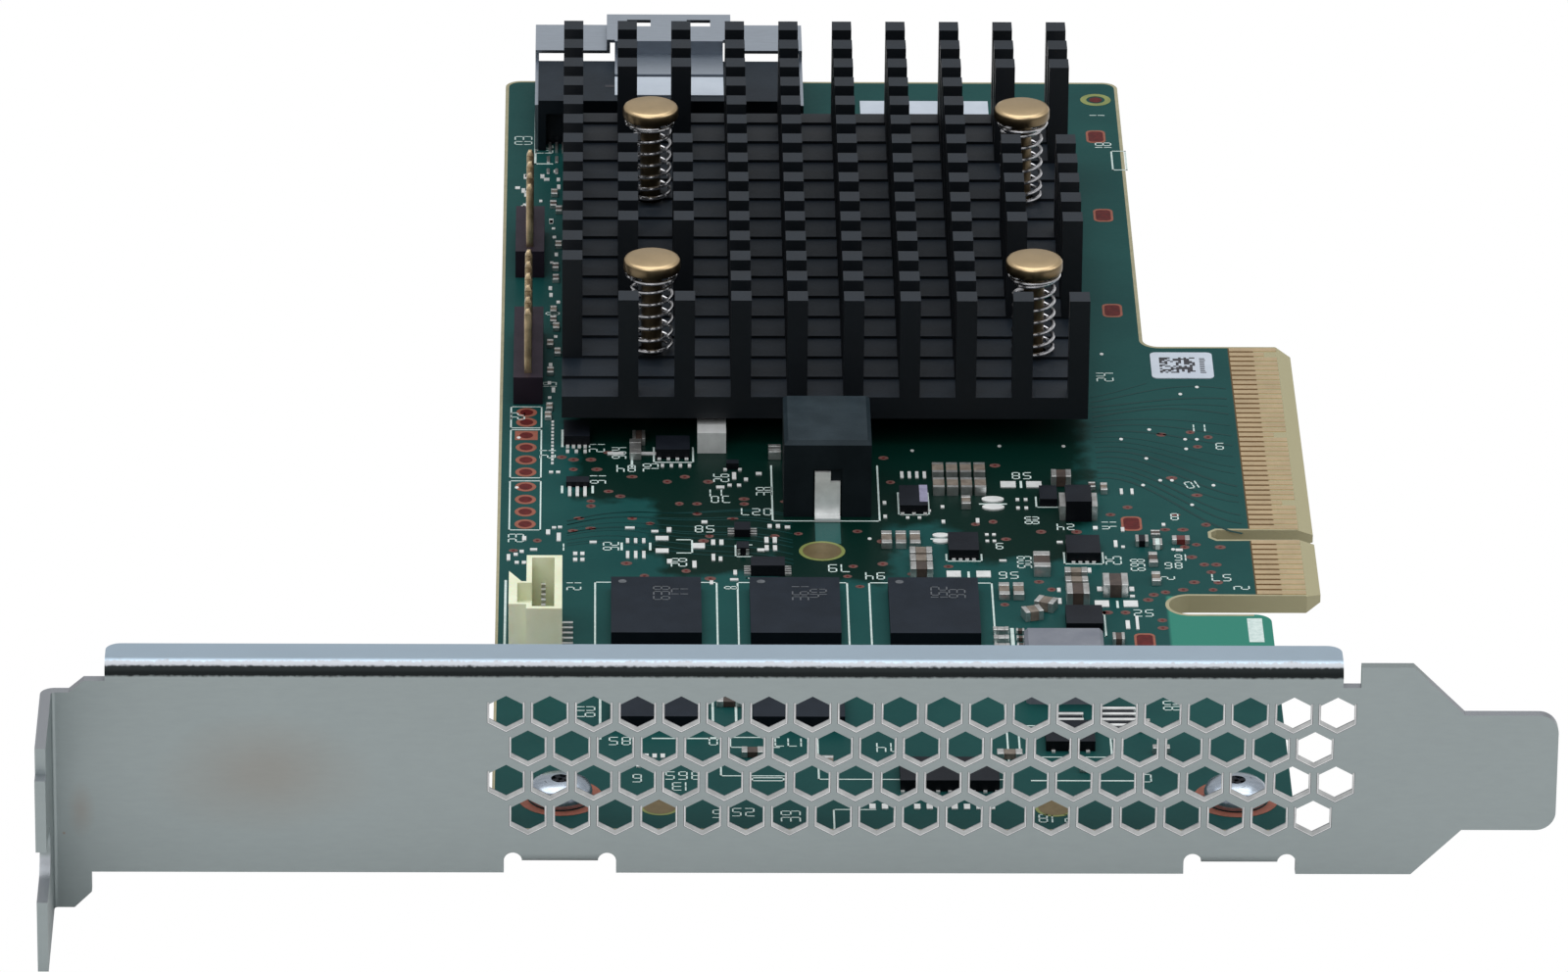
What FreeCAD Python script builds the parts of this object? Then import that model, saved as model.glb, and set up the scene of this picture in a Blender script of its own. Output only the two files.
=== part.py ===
import FreeCAD, Part
import math
import os
import re
import Sketcher
from FreeCAD import Placement, Rotation, Vector

# RAID controller card, lying component side up. Millimetres.
# X runs across the card to the tip of its edge connector, Y along the card away from the bracket,
# Z up from the component face. The origin is at the tip, level with the middle of the key notch.

doc = FreeCAD.newDocument("raid_controller_card")
sheet = doc.addObject("Spreadsheet::Sheet", "Sizes")

SIZES = {
    # circuit board
    "board_length": 155.65, "board_across": 68.9, "board_thick": 1.57, "key_to_near_edge": 56.6,
    "body_setback": 12.81, "ear_setback": 4.4, "tongue_far": 39.15, "tongue_near": 12.15,
    "near_slot": 3.65, "key_slot": 1.9, "key_depth": 8.65, "board_corner": 1.4, "tongue_chamfer": 1.2,
    "bevel_run": 1.3, "bevel_drop": 0.45,
    # gold contacts of the edge connector
    "contact_pitch": 1.0, "contact_width": 0.7, "contact_tip": 1.25, "contact_root": 5.35,
    "contact_thick": 0.05, "contact_first": 1.5, "short_contact_tip": 2.35,
    # bracket
    "sheet_thick": 0.86, "bend_inside": 0.3, "tab_bend_inside": 0.15, "bracket_gap": 0.55,
    "bracket_below": 1.57, "bracket_width": 18.42, "shoulder_drop": 0.1, "sheet_corner": 1.2,
    "bracket_seat_length": 120.02, "bracket_tip_out": 16.18,
    "screw_tab_depth": 11.43, "screw_tab_width": 19.05, "screw_tab_drop": 2.54,
    "screw_slot_width": 4.42, "screw_slot_depth": 6.4, "screw_slot_up": 8.3, "corner_notch": 2.3,
    "step_drop": 1.5, "step_run": 1.2, "step_at": 1.4, "flange_start": 4.27, "flange_length": 98.47,
    "flange_depth": 3.81, "relief_width": 1.42, "relief_depth": 1.9, "ear_length": 3.0, "ear_chamfer": 1.4,
    "tongue_width": 10.16, "tongue_up": 3.96, "tongue_length": 7.5, "tongue_chamfer_run": 4.15,
    "tongue_corner": 1.6,
    # vent holes
    "vent_across": 2.83, "vent_high": 3.1, "vent_pitch": 3.484, "vent_row_pitch": 3.043,
    "vent_start": 67.7, "vent_row_up": 4.98, "vent_count": 20, "vent_rows": 4,
    # board tabs of the bracket and their screws
    "board_tab_width": 6.1, "board_tab_depth": 10.6, "board_tab_notch": 0.72, "left_screw_inset": 5.5,
    "right_screw_inset": 9.0, "board_screw_in": 5.9, "board_screw_hole": 3.18, "board_tab_hole": 2.9,
    "screw_shank": 2.7, "screw_head": 5.2, "screw_head_high": 1.7, "screw_length": 4.0,
    "recess_across": 2.9, "recess_width": 0.8, "recess_deep": 1.0,
    # heatsink
    "sink_inset": 5.39, "sink_near": 18.16, "sink_base": 2.0, "sink_up": 2.5, "fin_high": 9.0,
    "fin_pitch": 4.815, "fin_width": 1.73, "fin_count": 10, "row_pitch": 4.328, "row_depth": 2.05,
    "row_count": 15, "cut_below_floor": 0.25, "clear_width": 9.2, "clear_length": 12.0,
    "pin_hole": 2.3,
    # spring pins through the heatsink
    "pin_across": 32.9, "pin_along": 33.8, "pin_in_from_side": 7.71, "pin_in_from_near": 9.94,
    "pin_shank": 1.8, "pin_head": 4.9, "pin_head_high": 1.2, "pin_spring_room": 7.5,
    "board_pin_hole": 2.5, "barb_across": 3.0, "barb_width": 1.4, "barb_long": 1.9,
    "spring_across": 3.9, "spring_wire": 0.36, "spring_turns": 6.5,
    # controller under the heatsink
    "chip_across": 27.0, "chip_high": 1.2, "lid_across": 20.0, "pad_high": 0.25, "pad_across": 18.0,
    # memory
    "memory_across": 7.5, "memory_along": 10.9, "memory_high": 1.15, "memory_inset": 9.6,
    "memory_pitch": 11.55, "memory_near": 22.0, "memory_rear_row": 16.0,
    # power choke
    "choke_inset": 24.2, "choke_near": 3.4, "choke_across": 7.4, "choke_along": 9.8, "choke_high": 7.0,
    "choke_chamfer": 0.35, "strap_width": 2.15, "strap_thick": 0.3, "strap_high": 4.15, "strap_foot": 1.0,
    # flat inductor
    "coil_inset": 43.6, "coil_near": 33.2, "coil_across": 6.5, "coil_along": 8.6, "coil_high": 3.0,
    "coil_foot_out": 0.5, "coil_foot_along": 3.2, "coil_foot_high": 1.9,
    # drive connector
    "port_inset": 3.05, "port_in_from_far": 16.35, "port_along": 9.4, "port_high": 4.9,
    "port_pitch": 0.6, "port_contacts": 37, "port_side": 1.05, "tail_width": 0.24, "tail_long": 1.9,
    "tail_high": 0.3, "tail_out": 0.55, "tail_window_side": 0.7, "tail_window_along": 1.6,
    "tail_window_under_top": 1.3, "mouth_side": 1.6, "mouth_low": 1.5, "mouth_roof": 1.0,
    "mouth_back": 3.2, "blade_side": 2.6, "blade_low": 2.3, "blade_thick": 0.9, "blade_out": 0.4,
    "shell_sheet": 0.3, "shell_high": 5.5, "shell_overhang": 0.25, "shell_gap": 1.1,
    "latch_across": 11.3, "latch_rise": 1.05, "latch_hole_across": 2.15, "latch_hole_along": 1.55,
    "latch_hole_in": 1.3, "latch_hole_pitch": 5.45, "arm_across": 9.85, "arm_along": 4.9,
    "cheek_high": 4.4, "cheek_short": 0.2,
    # pin headers
    "header_inset": 2.45, "header_pitch": 2.54, "header_high": 2.54, "header_near": 27.8,
    "header_far_near": 55.15, "post": 0.64, "post_high": 8.5, "post_tail": 1.3,
    # backup power connector
    "power_inset": 2.6, "power_across": 2.95, "power_near": 26.45, "power_along": 10.4,
    "power_high": 5.4, "power_wall": 0.45, "power_right_wall": 0.64, "power_floor": 0.9,
    "power_pitch": 1.0, "power_contacts": 7, "power_blade": 0.35, "power_blade_in": 1.4,
    "power_blade_high": 2.9, "power_lead_out": 0.9, "power_lead_width": 0.34, "power_lead_high": 0.3,
    "wing_out": 1.45, "wing_wall": 0.7, "wing_in_from_near": 0.85, "wing_tip_in_from_far": 3.1,
    "wing_root_in_from_far": 5.1, "wing_flat": 0.4, "wing_well_rim": 0.3, "wing_well_deep": 1.6,
    # ceramic capacitors, labels
    "capacitor_across": 0.95, "capacitor_along": 2.0, "capacitor_high": 0.8, "capacitor_end": 0.4,
    "capacitor_inset": 37.45, "capacitor_near": 8.8, "capacitor_pitch": 1.18, "capacitor_row_pitch": 3.1,
    "silver_inset": 17.0, "silver_near": 16.4, "silver_across": 2.45, "silver_along": 4.6, "silver_high": 1.9,
    "under_across": 1.0, "under_along": 0.5, "under_pitch": 4.5, "label_thick": 0.08,
    "port_label_along": 4.25, "port_label_gap": 0.1,
    # leads of the small packages, terminals of the power diode
    "lead_out": 0.55, "lead_width": 0.25, "lead_thick": 0.2,
    "terminal_out": 0.5, "terminal_along": 2.8, "terminal_high": 1.3,
    # clearance of a spring's ends and of a barb from what they bear on
    "seat_clearance": 0.05,
}
# Small packages: left near corner, X from the board's left edge, then across, along and height.
PACKAGES = {
    "line_regulator": (5.55, 17.9, 2.25, 3.4, 0.9), "logic_gate": (5.8, 9.35, 1.95, 1.15, 0.5),
    "flash_memory": (13.45, 15.2, 2.9, 2.9, 0.9), "small_transistor": (19.45, 13.0, 1.05, 0.8, 0.6),
    "level_shifter": (20.0, -0.7, 1.35, 1.6, 0.7), "reset_gate": (20.15, -4.35, 1.05, 1.3, 0.7),
    "clock_driver": (21.3, -8.5, 2.85, 1.8, 1.0), "power_switch": (34.05, 4.1, 2.4, 4.1, 0.8),
    "sense_amplifier": (37.95, -5.1, 2.55, 3.6, 0.9), "gate_driver": (45.95, 5.65, 1.5, 2.8, 0.7),
    "power_diode": (48.05, 2.55, 2.2, 3.4, 1.9), "voltage_supervisor": (47.85, -5.6, 2.85, 3.6, 0.9),
    "coil_driver": (47.35, -19.5, 3.05, 3.6, 0.9), "backup_switch": (32.9, -49.5, 8.0, 4.4, 1.0),
    "voltage_monitor": (44.9, -42.0, 4.0, 4.0, 0.9),
}
# Packages with leads on their left and right sides: how many a side and their pitch.
LEADED = {"clock_driver": (4, 0.45), "level_shifter": (3, 0.5)}
# The label by the far edge, from the board's left and far edges, and the one by the contacts.
LABELS = {"board_label": (32.4, 7.75, 11.7, 3.1), "code_label": (12.3, 32.3, 5.4, 5.5)}
for package, sizes in list(PACKAGES.items()) + list(LABELS.items()):
    for part, number in zip(("left", "near", "across", "along", "high"), sizes):
        SIZES["%s_%s" % (package, part)] = number
for package, (count, pitch) in LEADED.items():
    SIZES[package + "_leads"], SIZES[package + "_pitch"] = count, pitch
for row, (alias, number) in enumerate(SIZES.items(), start=1):
    sheet.set("A%d" % row, alias.replace("_", " "))
    sheet.set("B%d" % row, str(number))
    sheet.setAlias("B%d" % row, alias)
doc.recompute()

# Places that follow from the sizes, written as expressions on them.
FAR_EDGE = "($board_length - $key_to_near_edge)"
LEFT_EDGE = "(-$board_across)"
BRACKET_INNER = "(-$key_to_near_edge - $bracket_gap)"
BRACKET_OUTER = "(-$key_to_near_edge - $bracket_gap - $sheet_thick)"
BRACKET_LOW = "(-$board_thick - $bracket_below)"
BRACKET_TOP = "(-$board_thick - $bracket_below + $bracket_width)"
TAB_INNER = "($bracket_tip_out - $bracket_seat_length)"
TAB_OUTER = "($bracket_tip_out - $bracket_seat_length - $sheet_thick)"
TAB_UNDER = "(-$board_thick - $sheet_thick)"
RELIEF_Z = "(-$board_thick + $tab_bend_inside + 0.05 - $board_tab_notch)"
TAB_HIGH = "(-$board_thick - $bracket_below + $bracket_width - $screw_tab_drop)"
TAB_LOW = "(-$board_thick - $bracket_below + $bracket_width - $screw_tab_drop - $screw_tab_width)"
FLANGE_FROM = "($bracket_tip_out - $bracket_seat_length + $flange_start)"
BEND_OUT = "($bend_inside + $sheet_thick)"
SINK_LEFT = "(-$board_across + $sink_inset)"
SINK_FLOOR = "($sink_up + $sink_base)"
SINK_ACROSS = "(($fin_count - 1) * $fin_pitch + $fin_width)"
SINK_ALONG = "(($row_count - 1) * $row_pitch + $row_depth)"
BOARD_SCREW_Y = "(-$key_to_near_edge + $board_screw_in)"
BOARD_SCREW_X = ("(-$board_across + $left_screw_inset)", "(-$right_screw_inset)")
HEADER_X = "(-$board_across + $header_inset)"
PORT_LEFT = "(-$board_across + $port_inset)"
PORT_ACROSS = "(($port_contacts - 1) * $port_pitch + 2 * $port_side)"
PORT_RIGHT = "(%s + %s)" % (PORT_LEFT, PORT_ACROSS)
PORT_MIDDLE = "(%s + %s / 2)" % (PORT_LEFT, PORT_ACROSS)
PORT_NEAR = "($board_length - $key_to_near_edge - $port_in_from_far)"
PORT_FAR = "(%s + $port_along)" % PORT_NEAR
SHELL_NEAR = "(%s + $port_along + $shell_gap)" % PORT_NEAR
SHELL_FAR = "($board_length - $key_to_near_edge + $shell_overhang)"
ARM_NEAR = "(%s - $arm_along)" % SHELL_NEAR

nodes = []


def full(text):
    """Turn $name into a reference to the sheet."""
    return re.sub(r"\$(\w+)", r"Sizes.\1", str(text))


def mm(alias):
    """The number that the sheet holds under an alias."""
    return float(sheet.get(alias))


def bind(thing, **sizes):
    """Bind properties of an object to expressions on the sheet."""
    for prop, text in sizes.items():
        thing.setExpression(prop.replace("__", "."), full(text))


def place(thing, x="0", y="0", z="0"):
    """Bind the position of an object."""
    bind(thing, Placement__Base__x=x, Placement__Base__y=y, Placement__Base__z=z)


def node(thing, label):
    """Register an object as a finished sub-part."""
    thing.Label = label
    nodes.append(thing)
    return thing


def new_body(label):
    return node(doc.addObject("PartDesign::Body", label + "_body"), label)


def sketch_on(body, name, plane, offset="0"):
    """An empty sketch on an origin plane of its own body, lifted off it by an expression."""
    sketch = body.newObject("Sketcher::SketchObject", name)
    role = [f for f in body.Origin.OriginFeatures if f.Role == plane][0]
    sketch.AttachmentSupport = [(role, "")]
    sketch.MapMode = "FlatFace"
    sketch.setExpression("AttachmentOffset.Base.z", full(offset))
    return sketch


def number_of(text):
    """The value of an expression on the sheet."""
    return float(sheet.evalExpression(full(text)))


def outline(sketch, points):
    """Draw a closed polygon whose corners are pairs of expressions."""
    corners = [Vector(number_of(x), number_of(y), 0) for x, y in points]
    first = sketch.GeometryCount
    count = len(corners)
    for i in range(count):
        sketch.addGeometry(Part.LineSegment(corners[i], corners[(i + 1) % count]), False)
    for i in range(count):
        after = first + (i + 1) % count
        sketch.addConstraint(Sketcher.Constraint("Coincident", first + i, 2, after, 1))
    for i, (x, y) in enumerate(points):
        index = sketch.addConstraint(Sketcher.Constraint("DistanceX", -1, 1, first + i, 1, corners[i].x))
        sketch.setExpression("Constraints[%d]" % index, full(x))
        index = sketch.addConstraint(Sketcher.Constraint("DistanceY", -1, 1, first + i, 1, corners[i].y))
        sketch.setExpression("Constraints[%d]" % index, full(y))
    return sketch


def rectangle(sketch, x0, y0, x1, y1):
    return outline(sketch, [(x0, y0), (x1, y0), (x1, y1), (x0, y1)])


def circle(sketch, x, y, diameter):
    """Draw a circle with its centre and diameter bound."""
    centre = Vector(number_of(x), number_of(y), 0)
    geo = sketch.addGeometry(Part.Circle(centre, Vector(0, 0, 1), number_of(diameter) / 2), False)
    for kind, text, value in (("DistanceX", x, centre.x), ("DistanceY", y, centre.y)):
        index = sketch.addConstraint(Sketcher.Constraint(kind, -1, 1, geo, 3, value))
        sketch.setExpression("Constraints[%d]" % index, full(text))
    index = sketch.addConstraint(Sketcher.Constraint("Diameter", geo, number_of(diameter)))
    sketch.setExpression("Constraints[%d]" % index, full(diameter))
    return sketch


def pad(body, sketch, length, back=False):
    feature = body.newObject("PartDesign::Pad", sketch.Name + "_pad")
    feature.Profile = sketch
    feature.Reversed = back
    bind(feature, Length=length)
    sketch.Visibility = False
    return feature


def pocket(body, sketch, depth, back=False, both=False):
    """A pocket of a bound depth, to one side of the sketch or half to each."""
    feature = body.newObject("PartDesign::Pocket", sketch.Name + "_pocket")
    feature.Profile = sketch
    feature.Reversed = back
    feature.Midplane = both
    bind(feature, Length=depth)
    sketch.Visibility = False
    return feature


def pattern(body, feature, plane_axis, pitch, count, back=False):
    """Repeat a feature along an axis of the body's origin."""
    repeat = body.newObject("PartDesign::LinearPattern", feature.Name + "_row")
    repeat.Originals = [feature]
    axis = [f for f in body.Origin.OriginFeatures if f.Role == plane_axis][0]
    repeat.Direction = (axis, [""])
    repeat.Reversed = back
    repeat.Mode = "Spacing"
    bind(repeat, Offset=pitch, Occurrences=count)
    body.Tip = repeat
    return repeat


def grid(body, feature, pitch_x, count_x, pitch_z, count_z):
    """Repeat a feature along X and down Z."""
    multi = body.newObject("PartDesign::MultiTransform", feature.Name + "_grid")
    multi.Originals = [feature]
    rows = []
    for role, pitch, count in (("X_Axis", pitch_x, count_x), ("Z_Axis", pitch_z, count_z)):
        row = body.newObject("PartDesign::LinearPattern", feature.Name + role)
        axis = [f for f in body.Origin.OriginFeatures if f.Role == role][0]
        row.Direction = (axis, [""])
        row.Mode = "Spacing"
        bind(row, Offset=pitch, Occurrences=count)
        rows.append(row)
    multi.Transformations = rows
    body.Tip = multi
    return multi


def round_edges(body, chosen, radius, kind="PartDesign::Fillet"):
    """Fillet or chamfer the edges of the body's last shape that a test picks."""
    doc.recompute()
    base = body.Tip
    names = ["Edge%d" % (i + 1) for i, edge in enumerate(base.Shape.Edges) if chosen(edge)]
    feature = body.newObject(kind, body.Name + "_edges")
    feature.Base = (base, names)
    bind(feature, **{"Radius" if kind.endswith("Fillet") else "Size": radius})
    return feature


def runs_along(edge, axis):
    """True where an edge is straight and runs along an axis."""
    if not isinstance(edge.Curve, Part.Line):
        return False
    return abs(edge.Curve.Direction.dot(axis)) > 0.999


def near_point(edge, x, y, reach=0.1):
    middle = edge.CenterOfMass
    return abs(middle.x - x) < reach and abs(middle.y - y) < reach


def block(name, x, y, z, across, along, high):
    """A box with bound sizes and place."""
    box = doc.addObject("Part::Box", name)
    bind(box, Length=across, Width=along, Height=high)
    place(box, x, y, z)
    box.Visibility = False
    return box


def centred(name, x, y, z, across, along, high):
    """A box centred on a point in plan."""
    left, near = "(%s) - (%s) / 2" % (x, across), "(%s) - (%s) / 2" % (y, along)
    return block(name, left, near, z, across, along, high)


def rod(name, x, y, z, diameter, high):
    """An upright cylinder with bound sizes and place."""
    bar = doc.addObject("Part::Cylinder", name)
    bind(bar, Radius="(%s) / 2" % diameter, Height=high)
    place(bar, x, y, z)
    bar.Visibility = False
    return bar


def together(label, pieces):
    """Join loose solids into one node."""
    group = doc.addObject("Part::Compound", label + "_group")
    group.Links = pieces
    return node(group, label)


def make_board():
    """The laminate: card body, contact tongue, near ear, key notch, bevelled tip and holes."""
    body = new_body("circuit_board")
    near = "(-$key_to_near_edge)"
    sketch = sketch_on(body, "board_outline", "XY_Plane")
    slot_near = "(-$tongue_near - $near_slot)"
    corner = "$tongue_chamfer"
    outline(sketch, [
        ("-$board_across", near), ("-$ear_setback", near), ("-$ear_setback", slot_near),
        ("-$body_setback", slot_near), ("-$body_setback", "-$tongue_near"),
        ("-" + corner, "-$tongue_near"), ("0", "-$tongue_near + " + corner),
        ("0", "$tongue_far - " + corner), ("-" + corner, "$tongue_far"),
        ("-$body_setback", "$tongue_far"), ("-$body_setback", FAR_EDGE), ("-$board_across", FAR_EDGE)])
    pad(body, sketch, "$board_thick", back=True)

    def is_body_corner(edge):
        if not runs_along(edge, Vector(0, 0, 1)):
            return False
        left, right, far = -mm("board_across"), -mm("body_setback"), number_of(FAR_EDGE)
        ear = -mm("tongue_near") - mm("near_slot")
        corners = [(left, far), (right, far), (right, mm("tongue_far")), (-mm("ear_setback"), ear)]
        return any(near_point(edge, x, y) for x, y in corners)

    def is_slot_corner(edge):
        levels = [-mm("tongue_near"), -mm("tongue_near") - mm("near_slot")]
        places = [(-mm("body_setback"), y) for y in levels]
        return runs_along(edge, Vector(0, 0, 1)) and any(near_point(edge, x, y) for x, y in places)

    round_edges(body, is_body_corner, "$board_corner")
    round_edges(body, is_slot_corner, "$near_slot * 0.48")
    key = sketch_on(body, "key_notch", "XY_Plane")
    half = "($key_slot / 2)"
    flat = "(-$key_depth + $key_slot / 4)"
    outline(key, [("1", "-" + half), ("1", half), (flat, half), ("-$key_depth", "$key_slot / 4"),
                  ("-$key_depth", "-$key_slot / 4"), (flat, "-" + half)])
    pocket(body, key, "$board_thick")
    under = "-$board_thick"
    for side, start, run in (("upper", "0", "-$bevel_drop"), ("lower", under, under + " + $bevel_drop")):
        bevel = sketch_on(body, side + "_bevel", "XZ_Plane")
        outline(bevel, [("-$bevel_run", start), ("1", start), ("1", run), ("0", run)])
        pocket(body, bevel, "4 * $tongue_far", both=True)
    holes = sketch_on(body, "board_holes", "XY_Plane")
    for i in (0, 1):
        circle(holes, BOARD_SCREW_X[i], BOARD_SCREW_Y, "$board_screw_hole")
    for x, y in pin_places():
        circle(holes, x, y, "$board_pin_hole")
    pocket(body, holes, "$board_thick")
    posts = sketch_on(body, "post_holes", "XY_Plane")
    for y in post_places():
        rectangle(posts, HEADER_X + " - $post / 2", y + " - $post / 2", HEADER_X + " + $post / 2",
                  y + " + $post / 2")
    pocket(body, posts, "$board_thick")


def post_places():
    """Y of every header post: six near ones and four far ones."""
    near = ["$header_near + %d * $header_pitch" % i for i in range(6)]
    far = ["$header_far_near + %d * $header_pitch" % i for i in range(4)]
    return near + far


def make_contacts():
    """Gold contacts on both faces, with a gap at the key and the short presence contacts."""
    pieces = []
    short_upper = (17, 31, 48)
    for side, z in (("upper", "0"), ("lower", "-$board_thick - $contact_thick")):
        for pin in range(1, 50):
            if pin < 12:
                y = "(-$contact_first - %d * $contact_pitch)" % (11 - pin)
            else:
                y = "($contact_first + %d * $contact_pitch)" % (pin - 12)
            short = pin in short_upper if side == "upper" else pin == 1
            tip = "$short_contact_tip" if short else "$contact_tip"
            name = "%s_contact_%d" % (side, pin)
            pieces.append(block(name, "-$contact_root", y + " - $contact_width / 2", z,
                                "$contact_root - " + tip, "$contact_width", "$contact_thick"))
    together("edge_contacts", pieces)


def make_bracket():
    """Full-height bracket: one folded sheet with vents, a screw tab, a flange and two board tabs."""
    body = new_body("bracket")
    plate = sketch_on(body, "plate_outline", "XZ_Plane", "$key_to_near_edge + $bracket_gap")
    step = "(%s + $step_at)" % TAB_INNER
    step_high = "(%s - $step_drop)" % BRACKET_TOP
    flange_to = "(%s + $flange_length)" % FLANGE_FROM
    relief_to = "(%s + $relief_width)" % flange_to
    relief_low = "(%s - $relief_depth)" % BRACKET_TOP
    shoulder_top = "(%s - $shoulder_drop)" % BRACKET_TOP
    tongue_low = "(%s + $tongue_up)" % BRACKET_LOW
    tongue_high = "(%s + $tongue_width)" % tongue_low
    tongue_from = "($bracket_tip_out - $tongue_length)"
    upper_run = "(%s - (%s - %s))" % (tongue_from, shoulder_top, tongue_high)
    lower_run = "(%s - (%s - %s))" % (tongue_from, tongue_low, BRACKET_LOW)
    ear = "(%s + $ear_length)" % TAB_INNER
    corners = [(TAB_OUTER, TAB_LOW), (ear + " - $ear_chamfer", TAB_LOW), (ear, TAB_LOW + " + $ear_chamfer"),
               (ear, BRACKET_LOW)]
    half, recess = "($board_tab_width / 2)", "($board_tab_width / 2 + 2 * $board_tab_notch)"
    for centre in BOARD_SCREW_X:
        for sign, levels in (("-", (BRACKET_LOW, RELIEF_Z, RELIEF_Z, TAB_UNDER)),
                             ("+", (TAB_UNDER, RELIEF_Z, RELIEF_Z, BRACKET_LOW))):
            widths = (recess, recess, half, half) if sign == "-" else (half, half, recess, recess)
            corners += [("%s %s %s" % (centre, sign, width), z) for width, z in zip(widths, levels)]
    corners += [(lower_run, BRACKET_LOW), (tongue_from, tongue_low), ("$bracket_tip_out", tongue_low),
                ("$bracket_tip_out", tongue_high), (tongue_from, tongue_high), (upper_run, shoulder_top),
                (relief_to, shoulder_top), (relief_to, relief_low), (flange_to, relief_low),
                (flange_to, BRACKET_TOP), (FLANGE_FROM, BRACKET_TOP), (FLANGE_FROM, step_high),
                (step + " + $step_run", step_high), (step, TAB_HIGH), (TAB_OUTER, TAB_HIGH)]
    pad(body, outline(plate, corners), "$sheet_thick")
    flange = sketch_on(body, "flange_section", "YZ_Plane", FLANGE_FROM)
    rectangle(flange, BRACKET_OUTER, BRACKET_TOP + " - $sheet_thick",
              BRACKET_OUTER + " + $flange_depth", BRACKET_TOP)
    pad(body, flange, "$flange_length")
    screw_tab = sketch_on(body, "screw_tab_section", "XY_Plane", TAB_LOW)
    rectangle(screw_tab, TAB_OUTER, BRACKET_OUTER + " - $screw_tab_depth", TAB_INNER, BRACKET_INNER)
    pad(body, screw_tab, "$screw_tab_width")
    for number, centre in enumerate(BOARD_SCREW_X, start=1):
        tab = sketch_on(body, "board_tab_%d" % number, "XY_Plane", TAB_UNDER)
        rectangle(tab, centre + " - $board_tab_width / 2", BRACKET_OUTER, centre + " + $board_tab_width / 2",
                  BRACKET_OUTER + " + $board_tab_depth")
        pad(body, tab, "$sheet_thick")
    relief = sketch_on(body, "tab_relief", "XZ_Plane", "$key_to_near_edge")
    for centre in BOARD_SCREW_X:
        for side in ("-", "+"):
            x = "%s %s ($board_tab_width / 2 + $board_tab_notch)" % (centre, side)
            circle(relief, x, RELIEF_Z, "2 * $board_tab_notch")
    pocket(body, relief, "$bracket_gap + $sheet_thick", back=True)
    bend_sheet(body)
    cut_bracket_notches(body)
    cut_vents(body)


def bend_sheet(body):
    """Round the four folds outside and inside, then the free corners."""
    across, upright = Vector(1, 0, 0), Vector(0, 0, 1)
    outer_y, inner_y = number_of(BRACKET_OUTER), number_of(BRACKET_INNER)
    folds = [
        (across, outer_y, BRACKET_TOP, BEND_OUT),
        (across, inner_y, BRACKET_TOP + " - $sheet_thick", "$bend_inside"),
        (upright, inner_y, TAB_OUTER, BEND_OUT), (upright, outer_y, TAB_INNER, "$bend_inside"),
        (across, outer_y, TAB_UNDER, "$tab_bend_inside + $sheet_thick"),
        (across, inner_y, "-$board_thick", "$tab_bend_inside")]
    for axis, y, level, radius in folds:
        def is_fold(edge, axis=axis, y=y, at=number_of(level)):
            middle = edge.CenterOfMass
            here = middle.z if axis is across else middle.x
            return runs_along(edge, axis) and abs(middle.y - y) < 0.01 and abs(here - at) < 0.01
        round_edges(body, is_fold, radius)

    def is_tongue_corner(edge):
        return runs_along(edge, Vector(0, 1, 0)) and abs(edge.CenterOfMass.x - mm("bracket_tip_out")) < 0.01

    round_edges(body, is_tongue_corner, "$tongue_corner")
    free_ends = [outer_y + mm("flange_depth"), outer_y + mm("board_tab_depth")]

    def is_free_corner(edge):
        return runs_along(edge, upright) and min(abs(edge.CenterOfMass.y - y) for y in free_ends) < 0.01

    round_edges(body, is_free_corner, "$sheet_corner")


def cut_bracket_notches(body):
    """The screw slot and corner notch of the screw tab, the relief notches and holes of the board tabs."""
    near = "(%s - $screw_tab_depth)" % BRACKET_OUTER
    middle = "(%s + $screw_slot_up)" % TAB_LOW
    end = "(%s + $screw_slot_depth - $screw_slot_width / 2)" % near
    slot = sketch_on(body, "screw_slot", "YZ_Plane", TAB_INNER)
    rectangle(slot, near + " - 1", middle + " - $screw_slot_width / 2",
              end, middle + " + $screw_slot_width / 2")
    pocket(body, slot, "4 * $sheet_thick", both=True)
    slot_end = sketch_on(body, "screw_slot_end", "YZ_Plane", TAB_INNER)
    pocket(body, circle(slot_end, end, middle, "$screw_slot_width"), "4 * $sheet_thick", both=True)
    notch = sketch_on(body, "corner_notch_cut", "YZ_Plane", TAB_INNER)
    rectangle(notch, near + " - 1", TAB_HIGH + " - $corner_notch",
              near + " + $corner_notch / 2", TAB_HIGH + " + 1")
    pocket(body, notch, "4 * $sheet_thick", both=True)
    holes = sketch_on(body, "tab_holes", "XY_Plane", TAB_UNDER)
    for x in BOARD_SCREW_X:
        circle(holes, x, BOARD_SCREW_Y, "$board_tab_hole")
    pocket(body, holes, "$sheet_thick", back=True)


def cut_vents(body):
    """Four staggered rows of upright hexagons, the first and third a hole longer."""
    across, high = "($vent_across / 2)", "($vent_high / 2)"
    shoulder = "($vent_high / 4)"
    for shift, row in ((0, 1), (1, 0)):
        vent = sketch_on(body, "vent_%d" % (row + 1), "XZ_Plane", "$key_to_near_edge + $bracket_gap")
        x = "(-$vent_start + %d * $vent_pitch / 2)" % shift
        z = "(%s + $vent_row_up + %d * $vent_row_pitch)" % (BRACKET_LOW, row)
        west, east = x + " - " + across, x + " + " + across
        lower, upper = z + " - " + shoulder, z + " + " + shoulder
        outline(vent, [(x, z + " - " + high), (east, lower), (east, upper), (x, z + " + " + high),
                       (west, upper), (west, lower)])
        hole = pocket(body, vent, "$sheet_thick", back=True)
        grid(body, hole, "$vent_pitch", "$vent_count - %d" % shift, "2 * $vent_row_pitch", "$vent_rows / 2")


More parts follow.
